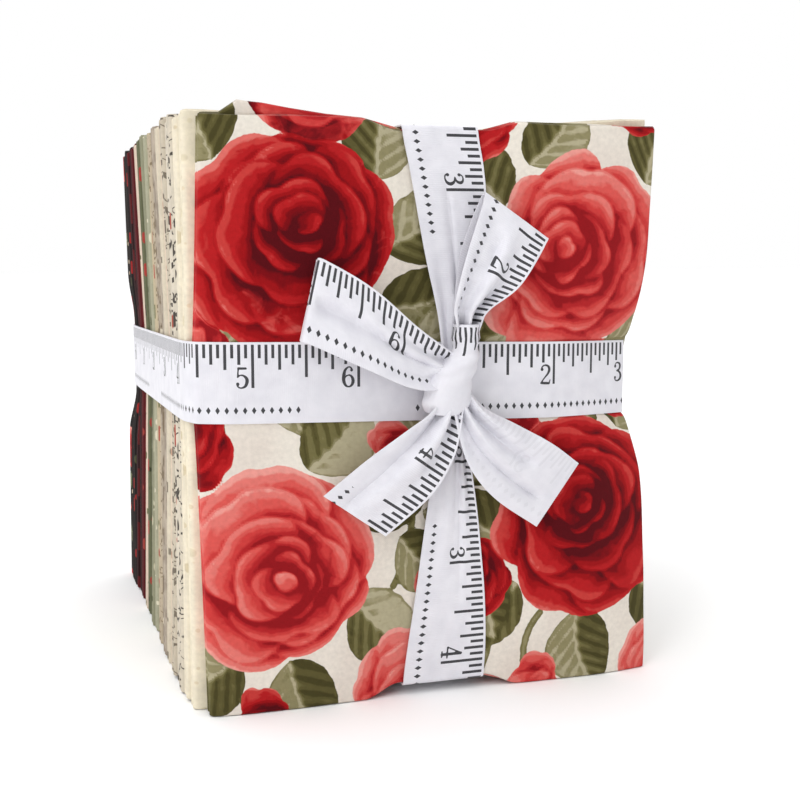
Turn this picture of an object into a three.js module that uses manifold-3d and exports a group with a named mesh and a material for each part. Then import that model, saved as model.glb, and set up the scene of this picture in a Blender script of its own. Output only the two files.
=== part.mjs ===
// A bundle of folded quilting fabrics, stood on its lower edges and tied both
// ways with one length of printed tape ribbon, bow to the front.
// Millimetres, +Z up. The front face looks along -Y; the origin ends up on the
// surface that the bundle stands on, under the middle of its bounding box.
import * as THREE from "three";
import { mergeVertices } from "three/addons/utils/BufferGeometryUtils.js";
import Module from "manifold-3d";

const wasm = await Module();
wasm.setup();

// The cut and its folds: four plies one way make a strip, and the strip goes
// back and forth in four layers the other way.
const CUT_WIDTH = 457.2;
const CUT_HEIGHT = 558.8;
const PLIES = 4;
const LAYERS = 4;
const FACE_WIDTH = CUT_WIDTH / LAYERS;
const FACE_HEIGHT = CUT_HEIGHT / PLIES;
const LAYER_THICKNESS = 1.06;
const LAYER_GAP = 0.35;
const FABRIC_GAP = 0.42;
const LAYER_PITCH = LAYER_THICKNESS + LAYER_GAP;
const FABRIC_PITCH = LAYERS * LAYER_PITCH - LAYER_GAP + FABRIC_GAP;

// The ribbon, and the waist that it draws into the stack.
const RIBBON_WIDTH = 19;
const RIBBON_THICKNESS = 1;
const RIBBON_CLEARANCE = 0.32;
const WAIST_RIGHT = 54.6;
const WAIST_EASE = 0.4;
const WAIST_MARGIN = 1;
const TIE_HEIGHT = 79.3;
const TIE_FALL_RIGHT = 0.0225;
const TIE_FALL_BACK = 0.033;
const PINCH_HALF_WIDTH = 17;
const PINCH_TOP = 4;
const PINCH_FOOT = 4.6;
const SQUEEZE_LEFT = 1.2;
const SQUEEZE_RIGHT = 3;
const WAIST_SQUEEZE_RIGHT = 8;
const WAIST_SHOULDER = 24;

// One row for each fabric, front to back. left and right say how far its ends
// stand past the folded width, waist how far left it is where the ribbon holds
// it, topLeft and topRight how far its upper corners stand above the folded
// height, foot how far it hangs clear of the surface.
const FABRICS = [
  { colour: 0xc9584f, left: 0.0, right: 0.0, waist: 58.6, topLeft: 0.0, topRight: 0.0, foot: 0.0 },
  { colour: 0xe8dfcb, left: 3.1, right: 0.6, waist: 60.0, topLeft: 0.9, topRight: 2.0, foot: 0.0 },
  { colour: 0xe4dac6, left: 3.9, right: -0.8, waist: 60.3, topLeft: 0.2, topRight: 0.4, foot: 0.5 },
  { colour: 0xd8d2c8, left: 4.4, right: 0.3, waist: 60.1, topLeft: 1.3, topRight: 0.9, foot: 0.0 },
  { colour: 0xdcd6cc, left: 4.1, right: 1.0, waist: 60.4, topLeft: 0.6, topRight: -0.6, foot: 0.0 },
  { colour: 0xcfc8bd, left: 4.8, right: -0.5, waist: 60.2, topLeft: 1.5, topRight: 0.3, foot: 0.7 },
  { colour: 0xdccbbd, left: 4.2, right: 0.4, waist: 59.9, topLeft: 0.8, topRight: 1.2, foot: 0.0 },
  { colour: 0xd6cfc0, left: 4.6, right: 1.2, waist: 60.3, topLeft: 0.1, topRight: 0.0, foot: 0.0 },
  { colour: 0xada59b, left: 4.9, right: -0.2, waist: 60.1, topLeft: 1.1, topRight: -0.8, foot: 0.4 },
  { colour: 0xa69c92, left: 4.3, right: 0.7, waist: 60.4, topLeft: 0.5, topRight: 0.6, foot: 0.0 },
  { colour: 0xb3a898, left: 4.7, right: 0.0, waist: 60.0, topLeft: -0.3, topRight: 1.0, foot: 0.0 },
  { colour: 0xb9ad97, left: 4.0, right: -0.9, waist: 60.2, topLeft: 0.9, topRight: 0.1, foot: 0.6 },
  { colour: 0x9fa588, left: 4.5, right: 0.5, waist: 60.4, topLeft: 0.3, topRight: -0.4, foot: 0.0 },
  { colour: 0x8c9678, left: 4.9, right: 1.1, waist: 60.1, topLeft: 1.0, topRight: 0.7, foot: 0.0 },
  { colour: 0x7f8c6e, left: 4.2, right: -0.4, waist: 59.8, topLeft: -0.2, topRight: 0.2, foot: 0.5 },
  { colour: 0x66754f, left: 4.6, right: 0.2, waist: 60.3, topLeft: 0.4, topRight: 1.1, foot: 0.0 },
  { colour: 0xb5705f, left: 4.8, right: 0.8, waist: 60.2, topLeft: -0.6, topRight: -0.5, foot: 0.0 },
  { colour: 0x9d2a2a, left: 4.3, right: -0.6, waist: 60.0, topLeft: 0.2, topRight: 0.5, foot: 0.8 },
  { colour: 0x7d1d20, left: 4.7, right: 0.6, waist: 60.4, topLeft: -0.8, topRight: 0.0, foot: 0.0 },
  { colour: 0x5f1518, left: 4.1, right: 1.0, waist: 60.1, topLeft: -0.1, topRight: -0.9, foot: 0.0 },
  { colour: 0x4a1214, left: 4.4, right: -0.3, waist: 59.9, topLeft: -1.1, topRight: 0.4, foot: 0.5 },
  { colour: 0x231c1b, left: 4.0, right: 0.3, waist: 60.2, topLeft: -0.5, topRight: -0.2, foot: 0.0 },
  { colour: 0x2a1d1a, left: 3.6, right: -0.7, waist: 59.8, topLeft: -1.4, topRight: 0.1, foot: 0.0 },
  { colour: 0x1b1716, left: 3.0, right: 0.0, waist: 59.4, topLeft: -1.2, topRight: -0.6, foot: 0.0 },
];
const STACK_DEPTH = FABRICS.length * FABRIC_PITCH - FABRIC_GAP;

// The front fabric's second layer has slipped up at its left end.
const SLIPPED_LAYER = 1;
const SLIPPED_RISE = 3.4;

// A tent of height 1 over the vertical ribbon, down to 0 at the pinch's sides.
function pinch(x) {
  return Math.max(0, 1 - Math.abs(x) / PINCH_HALF_WIDTH);
}

// Height of the middle of the horizontal ribbon: a plane that falls to the
// right and to the back.
function tieHeight(x, y) {
  return TIE_HEIGHT - TIE_FALL_RIGHT * (x + FACE_WIDTH / 2) - TIE_FALL_BACK * y;
}

// The folds are thinner than the middle, so the stack closes up at its sides:
// y moves towards the middle of the depth, straight from nothing at the
// shoulders to the full squeeze at the folded width's ends. The ribbon
// presses the right side further in than the rest.
function squeezed(x, y, shoulder, squeezeRight) {
  const start = x < 0 ? PINCH_HALF_WIDTH : shoulder;
  const beyond = Math.max(0, Math.abs(x) - start) / (FACE_WIDTH / 2 - start);
  const squeeze = beyond * (x < 0 ? SQUEEZE_LEFT : squeezeRight);
  return y + squeeze * (1 - (2 * y) / STACK_DEPTH);
}

// Height of a layer's upper edge at x: level over the middle, rising or
// falling to its corners, and drawn down under the ribbon.
function topHeight(fabric, layer, x) {
  const beyond = Math.max(0, Math.abs(x) - PINCH_HALF_WIDTH) / (FACE_WIDTH / 2 - PINCH_HALF_WIDTH);
  const slipped = fabric === FABRICS[0] && layer === SLIPPED_LAYER ? SLIPPED_RISE : 0;
  const corner = x < 0 ? fabric.topLeft + slipped : fabric.topRight;
  return FACE_HEIGHT + corner * beyond - PINCH_TOP * pinch(x);
}

// Height of a fabric's lower edge at x, drawn up over the ribbon.
function footHeight(fabric, x) {
  return fabric.foot + PINCH_FOOT * pinch(x);
}

// A closed sheet of cloth about a grid of points: rows of points along the
// cloth, each row running across it. Every point is moved half the thickness
// both ways along its normal, which comes from the neighbours on each side.
// On upright cloth the normals stay level, so that its lower edge stays flat.
// A panel's diagonal rises the same way whether its layer runs right or left,
// so that layers which lie on each other bend along the same lines.
function cloth(grid, thickness, { closed = false, upright = false } = {}) {
  const UP = new THREE.Vector3(0, 0, 1);
  const rows = grid.length;
  const across = grid[0].length;
  const at = (i, j) => {
    const row = closed ? (i + rows) % rows : THREE.MathUtils.clamp(i, 0, rows - 1);
    return grid[row][THREE.MathUtils.clamp(j, 0, across - 1)];
  };
  const positions = [];
  for (const side of [0.5, -0.5]) {
    for (let i = 0; i < rows; i += 1) {
      for (let j = 0; j < across; j += 1) {
        const along = new THREE.Vector3().subVectors(at(i + 1, j), at(i - 1, j));
        const over = upright ? UP : new THREE.Vector3().subVectors(at(i, j + 1), at(i, j - 1));
        const normal = along.cross(over).normalize();
        const point = at(i, j).clone().addScaledVector(normal, side * thickness);
        positions.push(point.x, point.y, point.z);
      }
    }
  }
  const index = (side, i, j) => (side * rows + (i % rows)) * across + j;
  const triangles = [];
  const quad = (a, b, c, d, leftwards = false) => {
    triangles.push(...(leftwards ? [a, b, d, b, c, d] : [a, b, c, a, c, d]));
  };
  const spans = closed ? rows : rows - 1;
  for (let i = 0; i < spans; i += 1) {
    for (let j = 0; j < across - 1; j += 1) {
      const leftwards = at(i + 1, j).x < at(i, j).x;
      quad(index(0, i, j), index(0, i + 1, j), index(0, i + 1, j + 1), index(0, i, j + 1), leftwards);
      quad(index(1, i, j), index(1, i, j + 1), index(1, i + 1, j + 1), index(1, i + 1, j), leftwards);
    }
    quad(index(1, i, 0), index(1, i + 1, 0), index(0, i + 1, 0), index(0, i, 0));
    const last = across - 1;
    quad(index(0, i, last), index(0, i + 1, last), index(1, i + 1, last), index(1, i, last));
  }
  for (let j = 0; !closed && j < across - 1; j += 1) {
    const end = rows - 1;
    quad(index(0, 0, j), index(0, 0, j + 1), index(1, 0, j + 1), index(1, 0, j));
    quad(index(1, end, j), index(1, end, j + 1), index(0, end, j + 1), index(0, end, j));
  }
  return facingOut(positions, triangles);
}

// A geometry of these triangles, turned round if they enclose less than nothing.
function facingOut(positions, triangles) {
  const corner = (k) => new THREE.Vector3().fromArray(positions, 3 * k);
  let volume = 0;
  for (let k = 0; k < triangles.length; k += 3) {
    const [a, b, c] = triangles.slice(k, k + 3).map(corner);
    volume += a.dot(b.cross(c));
  }
  const geometry = new THREE.BufferGeometry();
  geometry.setAttribute("position", new THREE.Float32BufferAttribute(positions, 3));
  geometry.setIndex(volume < 0 ? triangles.slice().reverse() : triangles);
  return geometry;
}

// The middle line of a fabric's section between its two ends: in from the
// right, round the fold at the left, and back and forth through its layers.
function sectionLine(place, left, right, shoulder, squeezeRight) {
  const turn = LAYER_PITCH / 2;
  const inset = turn + LAYER_THICKNESS / 2;
  const line = [];
  for (let layer = 0; layer < LAYERS; layer += 1) {
    const y = place * FABRIC_PITCH + LAYER_THICKNESS / 2 + layer * LAYER_PITCH;
    const run = [right - inset, shoulder, 0, -PINCH_HALF_WIDTH, left + inset];
    const leftwards = layer % 2 === 0;
    if (!leftwards) run.reverse();
    run.forEach((x) => line.push({ x, y: squeezed(x, y, shoulder, squeezeRight), layer }));
    if (layer < LAYERS - 1) {
      const x = leftwards ? left + inset - turn : right - inset + turn;
      line.push({ x, y: squeezed(x, y + turn, shoulder, squeezeRight), layer });
    }
  }
  return line;
}

// One folded fabric: its section at the foot, at both edges of the waist and
// at the top. The waist's section is shorter, because the ribbon draws it in.
function foldedFabric(fabric, place) {
  const atEnds = sectionLine(
    place,
    -FACE_WIDTH / 2 - fabric.left,
    FACE_WIDTH / 2 + fabric.right,
    PINCH_HALF_WIDTH,
    SQUEEZE_RIGHT,
  );
  const atWaist = sectionLine(
    place,
    -fabric.waist,
    WAIST_RIGHT - WAIST_EASE * Math.abs(fabric.right),
    WAIST_SHOULDER,
    WAIST_SQUEEZE_RIGHT,
  );
  const halfTie = RIBBON_WIDTH / 2 + WAIST_MARGIN;
  const grid = atEnds.map((end, k) => {
    const waist = atWaist[k];
    const tie = tieHeight(waist.x, waist.y);
    return [
      new THREE.Vector3(end.x, end.y, footHeight(fabric, end.x)),
      new THREE.Vector3(waist.x, waist.y, tie - halfTie),
      new THREE.Vector3(waist.x, waist.y, tie + halfTie),
      new THREE.Vector3(end.x, end.y, topHeight(fabric, end.layer, end.x)),
    ];
  });
  return cloth(grid, LAYER_THICKNESS, { upright: true });
}

// Corners of the taut loop round a set of flat points: each side is square to
// one direction and passes clearance outside the farthest point that way.
function tautLoop(points, clearance) {
  const SIDES = 12;
  const lines = Array.from({ length: SIDES }, (_, k) => {
    const angle = (2 * Math.PI * k) / SIDES;
    const out = new THREE.Vector2(Math.cos(angle), Math.sin(angle));
    return { out, reach: Math.max(...points.map((p) => p.dot(out))) + clearance };
  });
  return lines.map((a, k) => {
    const b = lines[(k + 1) % SIDES];
    const cross = a.out.cross(b.out);
    return new THREE.Vector2(
      (a.reach * b.out.y - b.reach * a.out.y) / cross,
      (b.reach * a.out.x - a.reach * b.out.x) / cross,
    );
  });
}

// Every corner of the placed fabrics, as the ribbon finds them.
function corners(geometries) {
  return geometries.flatMap((geometry) => {
    const position = geometry.getAttribute("position");
    const corner = (_, k) => new THREE.Vector3().fromBufferAttribute(position, k);
    return Array.from({ length: position.count }, corner);
  });
}

// The run that goes round level: its loop lies in plan about the waist.
function levelBand(points) {
  const waist = points.filter((p) => Math.abs(p.z - tieHeight(p.x, p.y)) < RIBBON_WIDTH);
  const plan = waist.map((p) => new THREE.Vector2(p.x, p.y));
  const loop = tautLoop(plan, RIBBON_CLEARANCE + RIBBON_THICKNESS / 2);
  const grid = loop.map((p) => [-1, 1].map((edge) => (
    new THREE.Vector3(p.x, p.y, tieHeight(p.x, p.y) + (edge * RIBBON_WIDTH) / 2)
  )));
  return cloth(grid, RIBBON_THICKNESS, { closed: true });
}

// The run that goes over the top: edges of the ribbon on the front face, from
// the top down. It is gathered at the knot and full width at both ends.
const FRONT_RUN = [
  { z: 128.0, left: -7.8, right: 10.9 },
  { z: 112.0, left: -4.8, right: 11.0 },
  { z: 97.0, left: -1.6, right: 8.4 },
  { z: 80.0, left: 0.0, right: 6.2 },
  { z: 64.0, left: -1.2, right: 6.6 },
  { z: 46.0, left: -3.6, right: 9.6 },
  { z: 24.0, left: -6.4, right: 12.2 },
];
const OVER_TOP = { left: -10.2, right: 8.8 };
const UNDER_FOOT = { left: -8.2, right: 10.8 };
const SAME_PLACE = 1e-4;

function uprightBand() {
  const reach = Math.max(-OVER_TOP.left, OVER_TOP.right, -UNDER_FOOT.left, UNDER_FOOT.right);
  const side = FABRICS.flatMap((fabric, place) => [0, LAYERS - 1].flatMap((layer) => {
    const middle = place * FABRIC_PITCH + LAYER_THICKNESS / 2 + layer * LAYER_PITCH;
    return [-1, 1].flatMap((face) => {
      const y = middle + (face * LAYER_THICKNESS) / 2;
      const heights = [topHeight(fabric, layer, reach), footHeight(fabric, reach)];
      return heights.map((z) => new THREE.Vector2(y, z));
    });
  }));
  const loop = tautLoop(side, RIBBON_CLEARANCE + RIBBON_THICKNESS / 2);
  const frontY = Math.min(...loop.map((p) => p.x));
  const crossing = ({ left, right }, y, z) => [left, right].map((x) => new THREE.Vector3(x, y, z));
  const onFront = (p) => Math.abs(p.x - frontY) < SAME_PLACE;
  const grid = loop.flatMap((p, k) => {
    const corner = crossing(p.y > FACE_HEIGHT / 2 ? OVER_TOP : UNDER_FOOT, p.x, p.y);
    const downFront = onFront(p) && onFront(loop[(k + 1) % loop.length]);
    return [corner, ...(downFront ? FRONT_RUN.map((row) => crossing(row, frontY, row.z)) : [])];
  });
  return cloth(grid, RIBBON_THICKNESS, { closed: true });
}

// The bow's four parts, root first: ax, az and bx, bz are the ribbon's two
// edges seen from the front, y is how far it stands forward there, and belly
// how far the middle of its width stands out past that, back if below zero.
const BOW = {
  leftLoop: [
    { ax: -0.5, az: 86.0, bx: -0.5, bz: 77.5, y: -5.0, belly: 0.0 },
    { ax: -8.1, az: 91.6, bx: -9.0, bz: 77.3, y: -7.4, belly: -1.2 },
    { ax: -19.3, az: 101.1, bx: -20.5, bz: 82.2, y: -8.0, belly: -1.8 },
    { ax: -29.8, az: 107.4, bx: -33.8, bz: 88.3, y: -6.4, belly: -0.8 },
    { ax: -31.0, az: 107.4, bx: -35.0, bz: 88.5, y: -4.6, belly: 0.0 },
    { ax: -29.6, az: 106.7, bx: -33.5, bz: 88.6, y: -3.0, belly: 0.4 },
    { ax: -19.0, az: 100.4, bx: -20.0, bz: 82.6, y: -2.8, belly: 0.3 },
    { ax: -1.0, az: 85.5, bx: -1.0, bz: 78.5, y: -2.4, belly: 0.0 },
  ],
  rightLoop: [
    { ax: 1.4, az: 88.5, bx: 5.8, bz: 88.5, y: -5.4, belly: 0.0 },
    { ax: 0.6, az: 96.0, bx: 9.5, bz: 94.8, y: -7.6, belly: 0.9 },
    { ax: 3.4, az: 108.5, bx: 17.2, bz: 101.0, y: -8.6, belly: 1.2 },
    { ax: 8.7, az: 121.5, bx: 24.6, bz: 111.0, y: -6.8, belly: 0.4 },
    { ax: 9.4, az: 122.6, bx: 25.6, bz: 112.0, y: -5.0, belly: 0.0 },
    { ax: 8.6, az: 120.8, bx: 24.0, bz: 110.8, y: -3.4, belly: 0.0 },
    { ax: 3.9, az: 107.9, bx: 16.6, bz: 101.4, y: -3.1, belly: 0.0 },
    { ax: 1.8, az: 88.5, bx: 5.4, bz: 88.5, y: -2.8, belly: 0.0 },
  ],
  leftTail: [
    { ax: -1.4, az: 73.5, bx: 3.4, bz: 72.5, y: -4.4, belly: 0.0 },
    { ax: -9.0, az: 68.5, bx: 1.2, bz: 60.0, y: -6.2, belly: 1.0 },
    { ax: -19.5, az: 61.0, bx: -4.5, bz: 49.5, y: -5.6, belly: 0.6 },
    { ax: -30.2, az: 52.3, bx: -13.0, bz: 42.3, y: -4.0, belly: 0.0 },
  ],
  rightTail: [
    { ax: 1.8, az: 71.5, bx: 6.4, bz: 73.5, y: -4.4, belly: 0.0 },
    { ax: 3.6, az: 61.0, bx: 15.0, bz: 68.0, y: -6.4, belly: 1.4 },
    { ax: 10.0, az: 51.4, bx: 25.0, bz: 63.5, y: -6.6, belly: -1.2 },
    { ax: 22.9, az: 40.2, bx: 35.4, bz: 56.6, y: -4.4, belly: 0.5 },
  ],
};
const BOW_STRIPS = 3;

function bowPart(rows) {
  const across = ({ ax, az, bx, bz, y, belly }, share) => new THREE.Vector3(
    THREE.MathUtils.lerp(ax, bx, share),
    y - belly * Math.sin(Math.PI * share),
    THREE.MathUtils.lerp(az, bz, share),
  );
  const shares = Array.from({ length: BOW_STRIPS + 1 }, (_, j) => j / BOW_STRIPS);
  return cloth(rows.map((row) => shares.map((share) => across(row, share))), RIBBON_THICKNESS);
}

// The knot: a lump of gathered ribbon, long up and down and leaning right.
const KNOT = { x: 2.6, y: -4.2, z: 80.5, width: 6.4, depth: 3.7, height: 11.5, lean: 0.14 };

function knot() {
  const lump = new THREE.SphereGeometry(1, 12, 8);
  lump.applyMatrix4(new THREE.Matrix4().makeScale(KNOT.width, KNOT.depth, KNOT.height));
  lump.applyMatrix4(new THREE.Matrix4().makeShear(0, 0, 0, 0, KNOT.lean, 0));
  lump.translate(KNOT.x, KNOT.y, KNOT.z);
  return lump;
}

// A geometry as a solid that can be joined, and back again.
function toSolid(geometry) {
  const bare = geometry.clone();
  bare.deleteAttribute("normal");
  bare.deleteAttribute("uv");
  const merged = mergeVertices(bare, SAME_PLACE);
  const mesh = new wasm.Mesh({
    numProp: 3,
    vertProperties: merged.getAttribute("position").array,
    triVerts: Uint32Array.from(merged.index.array),
  });
  return new wasm.Manifold(mesh);
}

function toGeometry(solid) {
  const mesh = solid.getMesh();
  const geometry = new THREE.BufferGeometry();
  geometry.setAttribute("position", new THREE.BufferAttribute(mesh.vertProperties, 3));
  geometry.setIndex(new THREE.BufferAttribute(mesh.triVerts, 1));
  return geometry;
}

function clothMesh(name, geometry, colour, roughness) {
  const material = new THREE.MeshStandardMaterial({ color: colour, roughness, metalness: 0 });
  const mesh = new THREE.Mesh(geometry, material);
  mesh.name = name;
  return mesh;
}

const bundle = new THREE.Group();
const folded = FABRICS.map(foldedFabric);
folded.forEach((geometry, place) => {
  const number = String(place + 1).padStart(2, "0");
  bundle.add(clothMesh(`fabric_${number}`, geometry, FABRICS[place].colour, 0.9));
});

const ribbonParts = [levelBand(corners(folded)), uprightBand(), knot(), ...Object.values(BOW).map(bowPart)];
const ribbon = ribbonParts.map(toSolid).reduce((joined, part) => joined.add(part));
bundle.add(clothMesh("ribbon_tie", toGeometry(ribbon), 0xeeedf2, 0.55));

// Bring the origin under the middle of the bounding box.
const middle = new THREE.Box3().setFromObject(bundle).getCenter(new THREE.Vector3());
bundle.position.set(-middle.x, -middle.y, 0);

export default bundle;
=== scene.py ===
"""A bundle of twenty-four folded quilting cottons, standing on edge and tied both ways
with tape-measure ribbon. Lengths are millimetres from the middle of the front face's
foot: x to the right, y into the stack, z up. place() turns them into the frame's metres."""

import bpy
import numpy as np
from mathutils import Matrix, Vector


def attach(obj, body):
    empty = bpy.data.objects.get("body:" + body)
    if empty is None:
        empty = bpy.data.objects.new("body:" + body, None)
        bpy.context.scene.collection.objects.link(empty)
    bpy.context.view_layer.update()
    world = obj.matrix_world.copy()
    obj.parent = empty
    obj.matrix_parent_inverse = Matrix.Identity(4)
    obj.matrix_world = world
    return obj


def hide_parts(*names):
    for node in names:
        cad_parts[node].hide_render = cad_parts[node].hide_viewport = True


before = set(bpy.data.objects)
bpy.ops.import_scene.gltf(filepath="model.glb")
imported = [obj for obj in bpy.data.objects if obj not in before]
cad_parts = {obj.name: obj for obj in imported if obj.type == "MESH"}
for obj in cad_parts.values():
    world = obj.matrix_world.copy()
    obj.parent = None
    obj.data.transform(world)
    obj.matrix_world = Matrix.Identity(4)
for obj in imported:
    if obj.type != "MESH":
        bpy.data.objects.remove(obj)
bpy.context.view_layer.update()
scene = bpy.context.scene


# The folded fabrics
# A quarter-yard cut of quilting cotton is folded in four to a strip as high as the face,
# and the strip goes back and forth in four layers. Twenty-four of them stand on edge.
PLIES, LAYERS = 4, 4
FACE_WIDTH, FACE_HEIGHT = 114.3, 139.7
LAYER_THICKNESS, LAYER_PITCH, FABRIC_PITCH = 1.06, 1.41, 5.71
STACK_DEPTH = 136.62
FOLD_RADIUS = LAYER_PITCH / 2
FOLD_INSET = FOLD_RADIUS + LAYER_THICKNESS / 2
FOLD_STEPS = 6
TAPE_EDGE = 9.9
TIE_HEIGHT, TIE_FALL_RIGHT, TIE_FALL_BACK = 79.3, 0.0225, 0.033
WAIST_RIGHT = 54.6
SLIPPED_LAYER, SLIPPED_RISE = 1, 3.4
PINCH_TOP, PINCH_FOOT = 2.3, 3.1
SWELL = 1.7
THREADS_DRAWN = 0.5
COLUMNS = ("left", "right", "waist", "top_left", "top_right", "foot")
FABRICS = [dict(zip(COLUMNS, row)) for row in (
    (0.0, 0.0, 58.6, 0.0, 0.0, 0.0),
    (3.1, 0.6, 60.0, 0.9, 2.0, 0.0),
    (3.9, -0.8, 60.3, 0.2, 0.4, 0.5),
    (4.4, 0.3, 60.1, 1.3, 0.9, 0.0),
    (4.1, 1.0, 60.4, 0.6, -0.6, 0.0),
    (4.8, -0.5, 60.2, 1.5, 0.3, 0.7),
    (4.2, 0.4, 59.9, 0.8, 1.2, 0.0),
    (4.6, 1.2, 60.3, 0.1, 0.0, 0.0),
    (4.9, -0.2, 60.1, 1.1, -0.8, 0.4),
    (4.3, 0.7, 60.4, 0.5, 0.6, 0.0),
    (4.7, 0.0, 60.0, -0.3, 1.0, 0.0),
    (4.0, -0.9, 60.2, 0.9, 0.1, 0.6),
    (4.5, 0.5, 60.4, 0.3, -0.4, 0.0),
    (4.9, 1.1, 60.1, 1.0, 0.7, 0.0),
    (4.2, -0.4, 59.8, -0.2, 0.2, 0.5),
    (4.6, 0.2, 60.3, 0.4, 1.1, 0.0),
    (4.8, 0.8, 60.2, -0.6, -0.5, 0.0),
    (4.3, -0.6, 60.0, 0.2, 0.5, 0.8),
    (4.7, 0.6, 60.4, -0.8, 0.0, 0.0),
    (4.1, 1.0, 60.1, -0.1, -0.9, 0.0),
    (4.4, -0.3, 59.9, -1.1, 0.4, 0.5),
    (4.0, 0.3, 60.2, -0.5, -0.2, 0.0),
    (3.6, -0.7, 59.8, -1.4, 0.1, 0.0),
    (3.0, 0.0, 59.4, -1.2, -0.6, 0.0),
)]
FACE_IN_FRAME = np.array([1.85, -63.902, 0.0])


def place(points):
    """Millimetres from the front face's foot, as metres in the frame."""
    return (points + FACE_IN_FRAME) / 1000


def smooth(t):
    """0 below 0, 1 above 1, and 3t^2 - 2t^3 between."""
    t = np.clip(t, 0, 1)
    return t * t * (3 - 2 * t)


def wander(at, rng, wavelength, size):
    """A slow random line: three sine waves of about this wavelength, added."""
    rates = rng.uniform(0.6, 1.8, 3) * 2 * np.pi / wavelength
    turns = rng.uniform(0, 2 * np.pi, 3)
    waves = np.sin(np.asarray(at)[..., None] * rates + turns)
    return size * waves.mean(-1)


def tie_height(x, y):
    """Height of the level ribbon's middle: it falls to the right and to the back."""
    return TIE_HEIGHT - TIE_FALL_RIGHT * (x + FACE_WIDTH / 2) - TIE_FALL_BACK * y


def waist(z, tie):
    """How far off the ribbon's edge a height is: 0 there, 1 at the foot and at the top."""
    above = (z - tie - TAPE_EDGE) / (FACE_HEIGHT - tie - TAPE_EDGE)
    below = (tie - TAPE_EDGE - z) / (tie - TAPE_EDGE)
    return np.clip(np.maximum(above, below), 0, 1)


def under_ribbon(x):
    """1 within 11 mm of the upright ribbon's middle, 0 past 20.5 mm, smooth between."""
    return smooth((20.5 - np.abs(x)) / 9.5)


def cloth_point(x, y, z, left, right):
    """Where the tied stack moves a point in depth: it is squeezed at its side edges, most
    at the right of the waist, and swells between the ribbons. Both fade into its middle."""
    tie = tie_height(x, y)
    grip = (1 - np.sqrt(waist(z, tie))) ** 1.5
    from_left = np.clip(1 - (x - left) / 12, 0, 1) ** 2
    reach = 20 + 7 * grip
    from_right = np.clip(1 - (right - x) / reach, 0, 1) ** (2 - 0.8 * grip)
    squeeze = (1.2 + 1.6 * grip) * from_left + (2.4 + 6.9 * grip) * from_right
    beside = 1 - np.exp(-np.clip(np.abs(x) - 9, 0, None) / 9)
    over = 1 - np.exp(-np.clip(np.abs(z - tie) - 9.5, 0, None) / 11)
    swell = SWELL * beside * over
    return y + (1 - 2 * y / STACK_DEPTH) * (squeeze - swell)


def folded_section(place_in_stack, fine_layer, fine_pitch):
    """The strip's way through its layers, from its free end at the right: arrays of the
    share across the face, the reach past a fold's start, the depth and the layer."""
    parts = []
    for layer in range(LAYERS):
        middle = place_in_stack * FABRIC_PITCH + LAYER_THICKNESS / 2 + layer * LAYER_PITCH
        if layer == fine_layer:
            across = np.linspace(0, 1, int(FACE_WIDTH / fine_pitch))
        else:
            across = (1 - np.cos(np.linspace(0, np.pi, 19))) / 2
        leftwards = layer % 2 == 0
        across = across[::-1] if leftwards else across
        still = np.zeros_like(across)
        parts.append((across, still, still + middle, still + layer))
        if layer < LAYERS - 1:
            turn = np.linspace(0, np.pi, FOLD_STEPS + 2)[1:-1]
            still = np.zeros_like(turn)
            side = -1 if leftwards else 1
            depth = middle + FOLD_RADIUS * (1 - np.cos(turn))
            parts.append((still + (side + 1) / 2, side * FOLD_RADIUS * np.sin(turn),
                          depth, layer + turn / np.pi))
    return [np.concatenate(column) for column in zip(*parts)]


PLY_PLACES = np.linspace(-0.75, 0.75, 2 * PLIES - 1)
PLY_GROOVE = 0.34


def ply_edges(along, rng, unevenness):
    """Heights across a layer's edge: each ply wanders on its own, with a groove between."""
    plies = np.stack([wander(along, rng, 34, unevenness) + rng.uniform(-0.5, 0.5) * unevenness
                      for _ in range(PLIES)], -1)
    grooves = (plies[:, 1:] + plies[:, :-1]) / 2 - PLY_GROOVE
    edges = np.empty((len(along), len(PLY_PLACES)))
    edges[:, 0::2] = plies
    edges[:, 1::2] = grooves
    return edges


def zip_strip(fine, fine_at, coarse, coarse_at):
    """Triangles between a close row of points and a wide one, which start and end level
    with each other: each fine step goes to the coarse point nearest below or above it."""
    turn = np.searchsorted(fine_at, (coarse_at[1:] + coarse_at[:-1]) / 2)
    step = np.arange(len(fine) - 1)
    nearest = np.searchsorted(turn, step, side="right")
    from_fine = np.stack([fine[step], fine[step + 1], coarse[nearest]], -1)
    from_coarse = np.stack([fine[turn], coarse[1:], coarse[:-1]], -1)
    return from_fine.tolist() + from_coarse.tolist()


def grid_faces(index):
    """Four-cornered faces of a grid of point numbers."""
    corners = (index[:-1, :-1], index[1:, :-1], index[1:, 1:], index[:-1, 1:])
    return np.stack([c.ravel() for c in corners], -1).tolist()


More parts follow.
